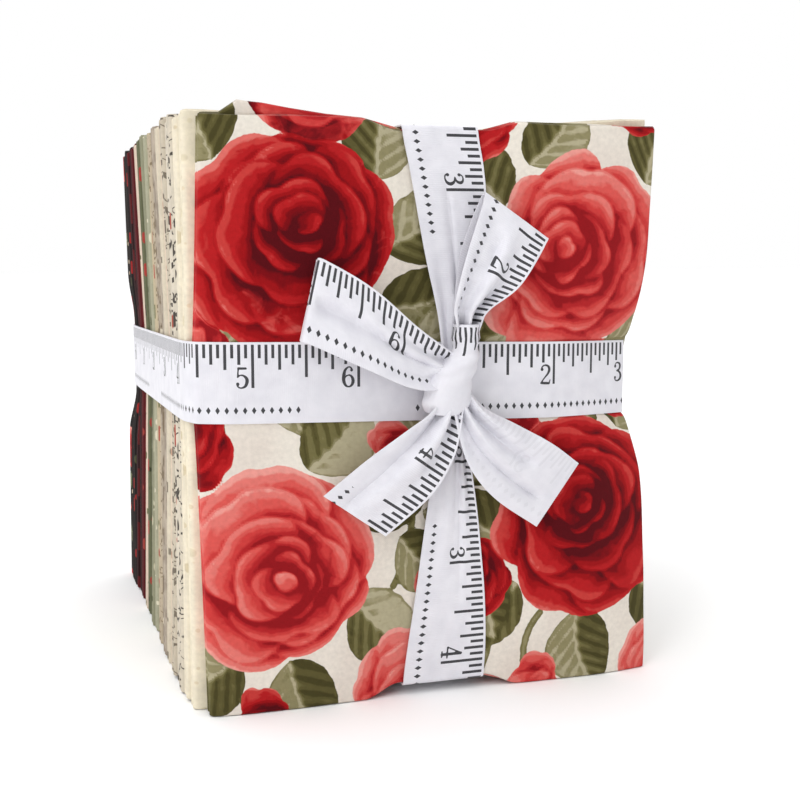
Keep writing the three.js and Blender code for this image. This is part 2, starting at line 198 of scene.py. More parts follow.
def folded_fabric(number, rng, fine_layer=None, fine_pitch=1.0):
    """A folded fabric's points, faces and cloth measure. Along its section, and up its
    height, both sides of each layer run round as one ring: up the outside, over the
    plies at the top, down the inside and under the plies at the foot."""
    fabric = FABRICS[number]
    share, past, depth, layer = folded_section(number, fine_layer, fine_pitch)
    left, right = -FACE_WIDTH / 2 - fabric["left"], FACE_WIDTH / 2 + fabric["right"]
    flat_x = left + FOLD_INSET + share * (right - left - 2 * FOLD_INSET) + past
    measure = np.concatenate([[0], np.cumsum(np.hypot(np.diff(flat_x), np.diff(depth)))])

    beyond = np.clip((np.abs(flat_x) - 17) / (FACE_WIDTH / 2 - 17), 0, 1)
    slipped = SLIPPED_RISE * smooth(1 - np.abs(layer - SLIPPED_LAYER))
    slipped = slipped * smooth((flat_x - left - 4.5) / 2)
    slipped = slipped * (number == 0)
    corner = np.where(flat_x < 0, fabric["top_left"] + slipped, fabric["top_right"])
    own = np.interp(layer, range(LAYERS), rng.uniform(-0.35, 0.35, LAYERS))
    top = FACE_HEIGHT + corner * smooth(beyond) + own - PINCH_TOP * under_ribbon(flat_x)
    top += wander(measure, rng, 60, 0.35)
    foot = fabric["foot"] + PINCH_FOOT * under_ribbon(flat_x)
    foot = foot + np.abs(wander(measure, rng, 50, 0.25))

    tie = tie_height(0, depth.mean())
    bends = tie + np.array([-24, -17, -13.5, -11.5, -10.4, -9.9, 0, 9.9, 10.4, 11.5, 13.5, 17, 24])
    coarse = np.unique(np.concatenate([[0, 0.003, 0.012], np.linspace(0.04, 0.96, 13),
                                       bends / FACE_HEIGHT, [0.988, 0.997, 1]]))
    outside = coarse
    if fine_layer is not None:
        fine = np.linspace(0.006, 0.994, int(FACE_HEIGHT / fine_pitch))
        outside = np.concatenate([[0, 0.003], fine, [0.997, 1]])
    rims = len(PLY_PLACES)
    up = np.concatenate([outside, np.ones(rims), coarse[::-1], np.zeros(rims)])
    side = np.concatenate([-np.ones(len(outside)), PLY_PLACES, np.ones(len(coarse)),
                           PLY_PLACES[::-1]])
    flat = slice(0, len(outside))
    over = slice(len(outside), len(outside) + rims)
    inner = slice(over.stop, over.stop + len(coarse))
    under = slice(inner.stop, inner.stop + rims)

    z = foot[:, None] + (top - foot)[:, None] * up
    lift = np.zeros_like(z)
    lift[:, over] = 0.12 + ply_edges(measure, rng, 0.3)
    lift[:, under] = -np.abs(0.1 + ply_edges(measure, rng, 0.1)[:, ::-1])
    z = np.maximum(z + lift, 0.0)
    tie = tie_height(flat_x, depth)[:, None]
    far = waist(z, tie)
    above, below = smooth((z - tie - 12) / 14), smooth((tie - 12 - z) / 14)
    aft = max(number - 18, 0) / 5
    waist_right = WAIST_RIGHT - 0.4 * abs(fabric["right"])
    left_edge = left + (-fabric["waist"] - left) * (1 - far) - aft * (1.3 * above + 2.2 * below)
    right_edge = right + (waist_right - right) * (1 - np.sqrt(far)) ** 1.5
    right_edge = right_edge + (0.9 * above + 1.6 * below) * smooth((4 - number) / 4)
    x = (left_edge + FOLD_INSET + past[:, None]
         + share[:, None] * (right_edge - left_edge - 2 * FOLD_INSET))
    y = cloth_point(x, depth[:, None], z, left_edge, right_edge)
    along_x, along_y = np.gradient(x, axis=0), np.gradient(y, axis=0)
    length = np.hypot(along_x, along_y)
    normal = np.stack([along_y / length, -along_x / length], -1)
    half = LAYER_THICKNESS / 2 * np.where((up < 0.001) | (up > 0.999), 0.93, 1.0)
    rim = np.zeros_like(side)
    rim[over] = rim[under] = 1
    shift = (side * half)[:, None]
    points = np.stack([x + normal[..., 0] * shift.T, y + normal[..., 1] * shift.T, z], -1)
    cloth = np.stack([np.broadcast_to(measure[:, None], z.shape), z,
                      np.broadcast_to(rim, z.shape)], -1)
    ring = points.shape[1]
    index = np.arange(points.shape[0] * ring).reshape(-1, ring)
    faces = grid_faces(np.concatenate([index, index[:, :1]], 1))

    points, cloth = [points.reshape(-1, 3)], [cloth.reshape(-1, 3)]
    for end, outwards in ((0, 1), (len(index) - 1, -1)):
        rows, count = index[end], sum(len(p) for p in points)
        edge = points[0].reshape(len(index), ring, 3)[end]
        outer, inside = edge[flat], edge[inner][::-1]
        facing = np.stack([np.interp(outside, coarse, inside[:, k]) for k in range(3)], -1)
        weight = ((PLY_PLACES + 1) / 2)[None, :, None]
        plies = outer[1:-1, None] * (1 - weight) + facing[1:-1, None] * weight
        bulge = ply_edges(outer[1:-1, 2], rng, 0.22) + 0.12
        plies[..., 0] += bulge
        cap = np.empty((len(outside), rims + 1), int)
        cap[:, 0] = rows[flat]
        cap[0, 1:], cap[-1, 1:] = rows[under][::-1], rows[over]
        cap[1:-1, 1:] = count + np.arange(plies[..., 0].size).reshape(plies.shape[:2])
        faces += grid_faces(cap)
        faces += zip_strip(cap[:, -1], outside, rows[inner][::-1], coarse)
        points.append(plies.reshape(-1, 3))
        here = measure[end] - outwards * (PLY_PLACES + 1) * 0.5
        cloth.append(np.stack([np.broadcast_to(here, plies.shape[:2]), plies[..., 2],
                               np.ones(plies.shape[:2])], -1).reshape(-1, 3))
    return np.concatenate(points), faces, np.concatenate(cloth)


def new_piece(name, points, faces, attributes):
    """A mesh object of these points in place, smooth shaded, its faces turned outwards,
    with a number or a triple of numbers for each point under each attribute's name."""
    mesh = bpy.data.meshes.new(name)
    mesh.from_pydata(place(points), [], faces)
    for title, values in attributes.items():
        kind, field = ("FLOAT", "value") if values.ndim == 1 else ("FLOAT_VECTOR", "vector")
        mesh.attributes.new(title, kind, "POINT").data.foreach_set(field, values.ravel())
    mesh.shade_smooth()
    mesh.validate()
    piece = bpy.data.objects.new(name, mesh)
    scene.collection.objects.link(piece)
    if signed_volume(mesh) < 0:
        mesh.flip_normals()
    return piece


def signed_volume(mesh):
    """Sum of each triangle's volume to the origin: below zero on an inside-out mesh."""
    mesh.calc_loop_triangles()
    corners = np.empty(3 * len(mesh.loop_triangles), np.int32)
    mesh.loop_triangles.foreach_get("vertices", corners)
    points = np.empty(3 * len(mesh.vertices))
    mesh.vertices.foreach_get("co", points)
    a, b, c = points.reshape(-1, 3)[corners.reshape(-1, 3)].transpose(1, 0, 2)
    return np.einsum("ij,ij->", a, np.cross(b, c)) / 6


def colour(code):
    """An sRGB hex colour as linear red, green, blue and full alpha."""
    parts = [int(code[k:k + 2], 16) / 255 for k in (0, 2, 4)]
    return [p / 12.92 if p < 0.04045 else ((p + 0.055) / 1.055) ** 2.4 for p in parts] + [1.0]


def node(tree, kind, inputs=(), **settings):
    """Adds one shader node. settings are its own properties. inputs fill its sockets, in
    order or by name, each with a value or with another node, meaning its live output."""
    made = tree.nodes.new("ShaderNode" + kind)
    for name, value in settings.items():
        setattr(made, name, value)
    for socket, value in inputs.items() if isinstance(inputs, dict) else enumerate(inputs):
        if isinstance(value, bpy.types.Node):
            value = next(output for output in value.outputs if output.enabled)
        if isinstance(value, bpy.types.NodeSocket):
            tree.links.new(value, made.inputs[socket])
        else:
            made.inputs[socket].default_value = value
    return made


def printed_cotton(name, paint):
    """Plain-woven quilting cotton: matt, with a slight fuzz of loose fibre at grazing
    angles. Its threads are 0.35 mm apart, drawn here at 0.5 mm so that they show, and
    slubs make some of them thicker. paint(tree, measure) gives the print's colour."""
    material = bpy.data.materials.new(name)
    material.use_nodes = True
    tree = material.node_tree
    tree.nodes.clear()
    measure = node(tree, "Attribute", attribute_name="cloth_mm").outputs["Vector"]
    along, up, rim = node(tree, "SeparateXYZ", (measure,)).outputs
    slubs = node(tree, "TexNoise", {"Vector": measure, "Scale": 0.9, "Detail": 3.0})
    cut = node(tree, "Math", (rim, 0.07), operation="MULTIPLY")
    edged = node(tree, "Mix", {0: cut, 6: paint(tree, measure), 7: colour("D8CFC2")},
                 data_type="RGBA")
    uneven = node(tree, "MapRange", (slubs, 0.3, 0.7, 0.93, 1.05))
    worn = node(tree, "HueSaturation", {"Color": edged, "Value": uneven})
    warp = node(tree, "Math", (along, 2 * np.pi / THREADS_DRAWN), operation="MULTIPLY")
    weft = node(tree, "Math", (up, 2 * np.pi / THREADS_DRAWN), operation="MULTIPLY")
    weave = node(tree, "Math", (node(tree, "Math", (warp,), operation="SINE"),
                                node(tree, "Math", (weft,), operation="SINE")),
                 operation="MULTIPLY")
    relief = node(tree, "Math", (weave, 0.12, slubs), operation="MULTIPLY_ADD")
    bump = node(tree, "Bump", {"Strength": 0.4, "Distance": 0.00015, "Height": relief})
    shader = node(tree, "BsdfPrincipled", {
        "Base Color": worn, "Roughness": 0.86, "Specular IOR Level": 0.15,
        "Sheen Weight": 0.05, "Sheen Roughness": 0.5, "Normal": bump})
    node(tree, "OutputMaterial", (shader,))
    return material


def finish_fabric(number, piece):
    """Attaches the piece to the root body and hides the model's part for this fabric: one folded strip,
    four plies of cloth thick.
    """
    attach(piece, "root")
    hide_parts(f"fabric_{number + 1:02d}")


# The front fabric's rose chintz
# Large roses, buds and leaves are printed on cream in reds, corals and olives. Each flower
# is painted petal on petal from the outside in. The print runs round the folds.
ROSE_PETALS = (  # petals, reach, length, breadth and base tone, as shares of the radius
    (5, 0.46, 0.54, 0.64, 0.68),
    (4, 0.36, 0.46, 0.56, 0.58),
    (3, 0.24, 0.40, 0.50, 0.50),
    (3, 0.16, 0.27, 0.34, 0.42),
    (2, 0.08, 0.19, 0.24, 0.36),
    (1, 0.03, 0.10, 0.10, 0.50),
)
BUD_PETALS = (
    (3, 0.28, 0.62, 0.52, 0.56),
    (2, 0.16, 0.50, 0.38, 0.42),
    (1, 0.10, 0.34, 0.22, 0.58),
)
PAINT_LAP, PAINT_BLEND = 0.7, 1.0
PETAL_POWER = 2.4
PETAL_SHADE, PETAL_SHADE_REACH = 0.34, 0.07
LEAF_SHADE, LEAF_SHADE_REACH = 0.3, 0.9
VEIN_SPACING, VEIN_BREADTH = 0.15, 0.21
UNPRINTED = -9.0
INK_CHANGE, PRINT_EDGE = 0.045, 0.08


def across_face(number, measure):
    """Turns a measure along a folded strip into its place across the face. The strip goes
    from right to left and back, so the place rises and falls once for every two layers."""
    right = FACE_WIDTH / 2 + FABRICS[number]["right"] - FOLD_INSET
    turn = np.pi * FOLD_RADIUS
    run = right + FACE_WIDTH / 2 + FABRICS[number]["left"] - FOLD_INSET + turn
    along = (measure + turn / 2) % (2 * run)
    return right + turn / 2 - np.minimum(along, 2 * run - along)


def blank_print(count):
    """An unprinted cloth: how deep each point lies in a flower or a leaf, in mm, and the
    tone and warmth of the ink there."""
    return {"bloom": np.full(count, UNPRINTED), "leaf": np.full(count, UNPRINTED),
            "tone": np.zeros(count), "warmth": np.zeros(count), "green": np.full(count, 0.5)}


def paint_rose(paint, x, z, centre, radius, turn, warmth, rng, petals=ROSE_PETALS):
    """Petals ring by ring inwards, about a centre that leans more for each ring. A petal
    is |a|^2.4 + |b|^2.4 < 1 along and across it, with soft lobes. It goes from dark at its
    root to light at its rolled lip, and darkens what it lies on beside its edge."""
    near = np.flatnonzero(np.hypot(x - centre[0], z - centre[1]) < 1.4 * radius)
    px, pz = (x[near] - centre[0]) / radius, (z[near] - centre[1]) / radius
    bloom, tone, warm = (paint[title][near] for title in ("bloom", "tone", "warmth"))
    lean = turn * 2.6
    for count, reach, length, breadth, base in petals:
        turn += 0.9
        shift = 0.24 * np.clip(0.46 - reach, 0, 1) / 0.46
        qx, qz = px - shift * np.cos(lean), pz - shift * np.sin(lean)
        for k in range(count):
            angle = turn + (k + rng.uniform(-0.16, 0.16)) * 2 * np.pi / count
            size = rng.uniform(0.88, 1.1)
            out = np.array([np.cos(angle), np.sin(angle)])
            along = (qx * out[0] + qz * out[1] - reach) / (length * size)
            across = (qz * out[0] - qx * out[1]) / (breadth * size)
            across = across + rng.uniform(-0.25, 0.25) * along
            around = np.arctan2(across, along)
            waves = rng.uniform(0, 6.28, 2)
            edge = 1 + 0.045 * np.sin(3 * around + waves[0]) + 0.02 * np.sin(5 * around + waves[1])
            edge = edge - 0.08 * np.exp(-((across - 0.1) / 0.2) ** 2) * (along > 0)
            inwards = np.abs(along) ** PETAL_POWER + np.abs(across) ** PETAL_POWER
            inwards = inwards ** (1 / PETAL_POWER)
            depth = (edge - inwards) * radius * min(length, breadth) * size
            fade = np.minimum(depth, 0) / (PETAL_SHADE_REACH * radius)
            tone = tone - PETAL_SHADE * np.exp(fade)
            light = 0.13 * (0.6 * out[1] - 0.8 * out[0]) + rng.uniform(-0.07, 0.07)
            streak = 0.045 * np.sin(8 * across / (1.7 - 0.5 * along) + waves[0])
            curl = np.exp(-((depth - 0.10 * radius) / (0.04 * radius)) ** 2) * smooth(along + 0.6)
            lip = np.exp(-np.clip(depth, 0, None) / (0.055 * radius)) * smooth(along + 0.7)
            value = base + light + streak + 0.22 * along - 0.10 * curl + 0.2 * lip
            cover = np.where(bloom < 0, depth > -PAINT_LAP, smooth(depth / PAINT_BLEND + 0.5))
            tone = tone + (value - tone) * cover
            warm = warm + (warmth + rng.uniform(-0.25, 0.25) - warm) * cover
            bloom = np.maximum(bloom, depth)
    paint["bloom"][near], paint["tone"][near], paint["warmth"][near] = bloom, tone, warm


def paint_leaf(paint, x, z, base, tip, breadth, rng):
    """A pointed oval about a bent midrib: its half breadth goes as the sine of the way
    along. One half is lighter, and side veins slant forward from the midrib."""
    base, tip = np.array(base, float), np.array(tip, float)
    length = np.hypot(*(tip - base))
    out = (tip - base) / length
    along = ((x - base[0]) * out[0] + (z - base[1]) * out[1]) / length
    bend = rng.uniform(-0.12, 0.12) * length
    within = np.clip(along, 0, 1)
    off = (z - base[1]) * out[0] - (x - base[0]) * out[1] - bend * np.sin(np.pi * within)
    teeth = 1 + 0.03 * np.abs(np.sin(within * length * 0.8))
    half = breadth / 2 * np.sin(np.pi * within**0.8) ** 0.75 * teeth
    depth = half - np.abs(off) - length * np.abs(along - within)
    veins = (along * length - 0.8 * np.abs(off)) / (VEIN_SPACING * length)
    vein = np.exp(-((veins - np.round(veins)) / VEIN_BREADTH) ** 2)
    vein = vein * (np.abs(off) < 0.92 * half)
    rib = np.exp(-(off / 0.6) ** 2)
    between = np.cos(2 * np.pi * veins)
    sunny = rng.choice((-1, 1))
    lit = sunny * np.tanh(off / 1.5)
    value = (0.47 + rng.uniform(-0.1, 0.12) + 0.17 * lit + 0.12 * within - 0.07 * between
             + 0.3 * vein * (lit > 0) - 0.16 * vein * (lit < 0) + 0.4 * rib
             - 0.12 * np.exp(-np.clip(depth, 0, None) / 0.7))
    shaded = paint["green"] - LEAF_SHADE * np.exp(np.minimum(depth, 0) / LEAF_SHADE_REACH)
    paint["green"] = np.where(paint["leaf"] < 0.4, paint["green"], shaded)
    cover = np.where(paint["leaf"] < 0, depth > -PAINT_LAP, smooth(depth / PAINT_BLEND + 0.5))
    paint["green"] = paint["green"] + (value - paint["green"]) * cover
    paint["leaf"] = np.maximum(paint["leaf"], depth)


def paint_stem(paint, x, z, start, bend, end, width):
    """A stem along a curve drawn from start to end and pulled towards bend."""
    t = np.linspace(0, 1, 24)[:, None]
    line = ((1 - t) ** 2 * np.array(start) + 2 * t * (1 - t) * np.array(bend)
            + t**2 * np.array(end))
    near = np.full(len(x), 99.0)
    for a, b in zip(line[:-1], line[1:]):
        step = b - a
        share = np.clip(((x - a[0]) * step[0] + (z - a[1]) * step[1]) / (step @ step), 0, 1)
        near = np.minimum(near, np.hypot(x - a[0] - share * step[0], z - a[1] - share * step[1]))
    depth = width / 2 - near
    on = (depth > -PAINT_LAP) & (depth > paint["leaf"])
    paint["green"] = np.where(on, 0.42 + 0.3 * np.clip(depth, -1, 1), paint["green"])
    paint["leaf"] = np.maximum(paint["leaf"], depth)


def inks(tree, tone, stops):
    """A ramp that stays on each ink and changes to the next over a short stretch."""
    made = node(tree, "ValToRGB", (tone,))
    ramp = made.color_ramp
    ramp.elements[0].color, ramp.elements[1].color = colour(stops[0][1]), colour(stops[-1][1])
    for (_, before), (start, after) in zip(stops, stops[1:]):
        ramp.elements.new(start - INK_CHANGE).color = colour(before)
        ramp.elements.new(start + INK_CHANGE).color = colour(after)
    return made


def floral_print(ground, reds, corals, greens):
    """Inks over a ground: leaves, then flowers. A fine noise frays each painted edge, and
    a long-grained one breaks up the tones as a loaded brush does."""
    def paint(tree, measure):
        frayed = node(tree, "TexNoise", {"Vector": measure, "Scale": 0.6, "Detail": 4.0})
        fray = node(tree, "MapRange", (frayed, 0.2, 0.8, -0.18, 0.18))
        brush = node(tree, "TexNoise", {"Vector": measure, "Scale": 0.22, "Detail": 3.0,
                                        "Distortion": 1.0})
        stroke = node(tree, "MapRange", (brush, 0.2, 0.8, -0.10, 0.10))
        field = {}
        for title in ("bloom", "tone", "warmth", "leaf", "green"):
            read = node(tree, "Attribute", attribute_name=title).outputs["Fac"]
            loose = fray if title in ("bloom", "leaf") else stroke
            field[title] = node(tree, "Math", (read, loose), operation="ADD")
        shade = node(tree, "TexNoise", {"Vector": measure, "Scale": 0.045})
        tint = node(tree, "MapRange", (shade, 0.35, 0.65, 0.0, 1.0),
                    interpolation_type="SMOOTHSTEP")
        cream = node(tree, "Mix", {0: tint, 6: colour(ground[0]), 7: colour(ground[1])},
                     data_type="RGBA")
        warm = node(tree, "MapRange", (field["warmth"], 0.44, 0.56, 0.0, 1.0))
        rose = node(tree, "Mix", {0: warm, 6: inks(tree, field["tone"], reds),
                                  7: inks(tree, field["tone"], corals)}, data_type="RGBA")
        in_leaf = node(tree, "MapRange", (field["leaf"], -PRINT_EDGE, PRINT_EDGE, 0.0, 1.0))
        in_rose = node(tree, "MapRange", (field["bloom"], -PRINT_EDGE, PRINT_EDGE, 0.0, 1.0))
        leafy = node(tree, "Mix", {0: in_leaf, 6: cream, 7: inks(tree, field["green"], greens)},
                     data_type="RGBA")
        return node(tree, "Mix", {0: in_rose, 6: leafy, 7: rose}, data_type="RGBA")
    return paint


REDS = ((0, "55000A"), (0.20, "78000A"), (0.36, "98080F"), (0.54, "B0181C"), (0.74, "C23A36"),
        (0.96, "D66A62"))
CORALS = ((0, "8E0E16"), (0.18, "AE2024"), (0.34, "C63A38"), (0.50, "D3544E"),
          (0.68, "DB736B"), (0.92, "E4978D"))
OLIVES = ((0, "45401F"), (0.22, "58522D"), (0.40, "706A42"), (0.58, "8B8460"), (0.80, "AEA688"))


def chintz(x, z):
    """The front design: where each stem, leaf, bud and flower is painted."""
    rng = np.random.default_rng(11)
    paint = blank_print(len(x))
    for start, bend, end, width in (
            ((-10, 100), (-4, 90), (-16, 84), 2.0), ((24, 90), (28, 78), (20, 68), 1.8),
            ((46, 86), (54, 80), (54, 70), 1.8), ((-30, 60), (-24, 68), (-24, 78), 1.8),
            ((8, 26), (16, 16), (10, 4), 2.0), ((-54, 64), (-50, 74), (-56, 84), 1.8),
            ((26, 18), (20, 12), (22, 2), 1.8), ((-12, 28), (-4, 40), (-8, 58), 1.8),
            ((4, 126), (10, 116), (6, 104), 1.8), ((-58, 12), (-52, 6), (-46, 0), 1.8)):
        paint_stem(paint, x, z, start, bend, end, width)
    for base, tip, breadth in (
            ((-14, 110), (8, 126), 18), ((-14, 96), (10, 104), 17), ((-20, 90), (-2, 74), 17),
            ((-48, 92), (-62, 72), 19), ((-38, 90), (-32, 66), 17), ((-54, 130), (-64, 148), 18),
            ((-16, 126), (-12, 148), 18), ((16, 120), (4, 140), 17), ((54, 126), (64, 144), 17),
            ((52, 98), (66, 82), 18), ((22, 92), (4, 82), 17), ((38, 86), (44, 64), 18),
            ((22, 64), (2, 72), 16), ((52, 64), (64, 78), 16), ((18, 36), (-4, 46), 17),
            ((54, 24), (66, 6), 18), ((36, 18), (42, -4), 18), ((20, 26), (2, 10), 17),
            ((-20, 44), (0, 58), 17), ((-32, 58), (-16, 76), 17), ((-54, 60), (-66, 76), 17),
            ((-22, 26), (-4, 12), 18), ((-50, 14), (-68, 2), 18), ((-38, 12), (-28, -10), 18),
            ((22, 130), (34, 150), 16), ((-4, 88), (14, 96), 15), ((8, 52), (22, 76), 15),
            ((4, 34), (14, 12), 15), ((52, 84), (32, 76), 15), ((-10, 40), (6, 28), 15),
            ((-62, 108), (-52, 88), 15), ((4, 60), (-14, 66), 14)):
        paint_leaf(paint, x, z, base, tip, breadth, rng)
    for centre, radius, turn, warmth, petals in (
            ((-15, 84), 9.5, 4.4, 0.1, BUD_PETALS), ((-58, 88), 9.0, 4.9, 0.9, BUD_PETALS),
            ((20, 70), 9.0, 4.6, 0.9, BUD_PETALS), ((54, 74), 9.0, 1.4, 0.1, BUD_PETALS),
            ((-8, 62), 9.0, 1.2, 0.9, BUD_PETALS), ((10, 98), 9.0, 1.2, 0.1, BUD_PETALS),
            ((-46, -2), 10.0, 4.7, 0.2, BUD_PETALS), ((23, 0), 10.0, 4.7, 0.9, BUD_PETALS),
            ((4, 143), 15.0, 0.5, 0.2, ROSE_PETALS), ((-7, 1), 16.0, 1.9, 0.8, ROSE_PETALS),
            ((62, 0), 15.0, 1.9, 0.9, ROSE_PETALS), ((-31, 153), 19.0, 0.2, 0.7, ROSE_PETALS),
            ((52, 152), 15.0, 2.2, 0.2, ROSE_PETALS), ((6, 28), 12.0, 1.0, 0.1, ROSE_PETALS),
            ((-62, 66), 13.0, 1.0, 0.2, ROSE_PETALS),
            ((-37, 112), 26.0, 0.3, 0.2, ROSE_PETALS), ((37, 108), 25.0, 1.1, 0.85, ROSE_PETALS),
            ((-42, 35), 25.0, 2.1, 0.8, ROSE_PETALS), ((40, 41), 26.0, 0.8, 0.15, ROSE_PETALS)):
        paint_rose(paint, x, z, centre, radius, turn, warmth, rng, petals)
    return paint


FRONT_PITCH = 0.52
cloth_points = []
points, faces, cloth = folded_fabric(0, np.random.default_rng(1), 0, FRONT_PITCH)
front = new_piece("cloth_01", points, faces,
                  {"cloth_mm": cloth, **chintz(across_face(0, cloth[:, 0]), cloth[:, 1])})
front.data.materials.append(printed_cotton("rose_chintz_cotton", floral_print(
    ("E6DFD3", "DDD3C8"), REDS, CORALS, OLIVES)))
finish_fabric(0, front)
cloth_points.append(points)


# The small-print fabrics behind it
# They go from creams and pen-drawn scrolls through taupes and sages to reds and blacks.
# Only their folds and edges show, so each print is a small repeat over its own ground.
MOTIF_LOBES = {"flowers": (5.0, 0.10, 0.22), "leaves": (2.0, 0.15, 0.20)}


def repeated_ink(tree, measure, motif, size):
    """How much ink a small repeat lays at a point, 0 to 1. size is the repeat in mm.
    Flowers and leaves are r = a + b cos(n angle) about the nearest of scattered points."""
    cells = node(tree, "TexVoronoi", {"Vector": measure, "Scale": 1 / size, "Randomness": 0.75})
    noise = node(tree, "TexNoise", {"Vector": measure, "Scale": 1 / size, "Detail": 2.0,
                                    "Distortion": 0.8})
    if motif == "dots":
        return node(tree, "MapRange", (cells, 0.15, 0.19, 1.0, 0.0))
    if motif == "mottle":
        return node(tree, "MapRange", (noise, 0.45, 0.59, 0.0, 1.0))
    if motif == "scrolls":
        off = node(tree, "Math", (noise, 0.5), operation="SUBTRACT")
        off = node(tree, "Math", (off,), operation="ABSOLUTE")
        pen = node(tree, "MapRange", (off, 0.015, 0.029, 1.0, 0.0))
        blot = node(tree, "MapRange", (noise, 0.63, 0.65, 0.0, 1.0))
        return node(tree, "Math", (pen, blot), operation="MAXIMUM")
    if motif == "damask":
        along, up, _ = node(tree, "SeparateXYZ", (measure,)).outputs
        waves = [node(tree, "Math", (node(tree, "Math", (at, rate / size), operation="MULTIPLY"),),
                      operation="COSINE") for at, rate in ((along, 6.3), (up, 4.7), (along, 18.9))]
        leafy = node(tree, "Math", (waves[0], waves[1], noise), operation="MULTIPLY_ADD")
        ogee = node(tree, "Math", (waves[2], 0.35, leafy), operation="MULTIPLY_ADD")
        return node(tree, "MapRange", (ogee, 0.75, 0.83, 0.0, 1.0))
    scaled = node(tree, "VectorMath", {0: measure, "Scale": 1 / size}, operation="SCALE")
    away = node(tree, "VectorMath", (scaled, cells.outputs["Position"]), operation="SUBTRACT")
    right, up, _ = node(tree, "SeparateXYZ", (away,)).outputs
    angle = node(tree, "Math", (up, right), operation="ARCTAN2")
    turn = node(tree, "SeparateColor", (cells.outputs["Color"],))
    around = node(tree, "Math", (turn, 6.28, angle), operation="MULTIPLY_ADD")
    count, swing, reach = MOTIF_LOBES[motif]
    lobe = node(tree, "Math", (around, count), operation="MULTIPLY")
    lobe = node(tree, "Math", (lobe,), operation="COSINE")
    edge = node(tree, "Math", (lobe, swing, reach), operation="MULTIPLY_ADD")
    depth = node(tree, "Math", (edge, cells), operation="SUBTRACT")
    return node(tree, "MapRange", (depth, -0.02, 0.02, 0.0, 1.0))


def small_print(ground, motifs):
    """A ground with one ink over another, each ink in its own small repeat."""
    def paint(tree, measure):
        shade = node(tree, "TexNoise", {"Vector": measure, "Scale": 0.12})
        result = node(tree, "HueSaturation", {
            "Color": colour(ground), "Value": node(tree, "MapRange", (shade, 0.3, 0.7, 0.9, 1.06))})
        for k, (motif, size, ink) in enumerate(motifs):
            moved = node(tree, "Mapping", (measure, (7.3 * k, 3.1 * k, 5.0 * k)))
            share = repeated_ink(tree, moved, motif, size)
            result = node(tree, "Mix", {0: share, 6: result, 7: colour(ink)}, data_type="RGBA")
        return result
    return paint


SMALL_PRINTS = (  # name, slot, ground, and each ink's motif, repeat in mm and colour
    ("cream_dot", "cream_prints", "E9DFC8", (("dots", 3.2, "DECFB2"), ("leaves", 5.0, "DDD2B6"))),
    ("cream_sprig", "cream_prints", "E6DCC6", (("leaves", 5.0, "D2C4A6"),)),
    ("pen_scroll", "script_prints", "D2C8B6", (("scrolls", 7.0, "4C463F"),)),
    ("pen_leaf", "script_prints", "D6CCBB", (("scrolls", 9.0, "4C4640"),
                                             ("flowers", 9.0, "A8503F"))),
    ("grey_scroll", "script_prints", "C6BBA8", (("scrolls", 6.0, "746A5D"),)),
    ("blush_tone", "cream_prints", "D8C6B2", (("flowers", 7.0, "C09A84"),)),
    ("cream_leaf", "cream_prints", "D2C7B2", (("leaves", 5.0, "857C6C"),)),
    ("taupe_mottle", "taupe_prints", "B4A797", (("mottle", 6.0, "968A7C"),)),
    ("grey_bark", "taupe_prints", "AC9F8E", (("mottle", 5.0, "7E6F5C"), ("dots", 5.0, "CFC4B0"))),
    ("taupe_vine", "taupe_prints", "B9AA93", (("scrolls", 7.0, "87785F"),)),
    ("flax_flower", "taupe_prints", "BFB093", (("leaves", 6.0, "7C7A56"),
                                               ("flowers", 8.0, "A85243"))),
    ("sage_leaf", "sage_prints", "A6A48C", (("leaves", 5.0, "D6CFB8"),)),
    ("sage_flower", "sage_prints", "8D8C73", (("flowers", 7.0, "BFB79C"),
                                              ("leaves", 5.0, "626449"))),
    ("moss_mottle", "sage_prints", "7B7B64", (("mottle", 5.0, "585A44"),)),
    ("ivy_rose", "sage_prints", "62644A", (("leaves", 6.0, "363A26"), ("flowers", 8.0, "A23B35"))),
    ("red_flower", "red_prints", "D6C3B0", (("leaves", 5.0, "6F7350"), ("flowers", 6.0, "A82E28"))),
    ("scarlet_tone", "red_prints", "701C1F", (("mottle", 6.0, "521114"),)),
    ("crimson_sprig", "red_prints", "551418", (("flowers", 7.0, "9A3C35"),)),
    ("wine_scroll", "red_prints", "330E11", (("scrolls", 7.0, "140A0A"),)),
    ("wine_damask", "red_prints", "2A0B0E", (("damask", 13.0, "581518"),)),
    ("black_rose", "black_prints", "1C1514", (("leaves", 8.0, "4A4A32"), ("flowers", 8.0, "98201F"))),
    ("black_dot", "black_prints", "1F1613", (("dots", 4.0, "B8A48E"),)),
)
for number, (name, slot, ground, motifs) in enumerate(SMALL_PRINTS, start=1):
    points, faces, cloth = folded_fabric(number, np.random.default_rng(100 + number))
    piece = new_piece(f"cloth_{number + 1:02d}", points, faces, {"cloth_mm": cloth})
    piece.data.materials.append(printed_cotton(name + "_cotton", small_print(ground, motifs)))
    finish_fabric(number, piece)
    cloth_points.append(points)


# The back fabric
# The last fabric shows its whole face from behind: small red roses and grey-green leaves
# scattered on black.
ROSE_SPACING, ROSE_ROWS_APART = 26.0, 23.5
BACK, BACK_PITCH = 23, 0.75
NIGHT_GREENS = ((0, "24271B"), (0.3, "3A3E2A"), (0.5, "555A3F"), (0.7, "737857"), (0.9, "8F9472"))


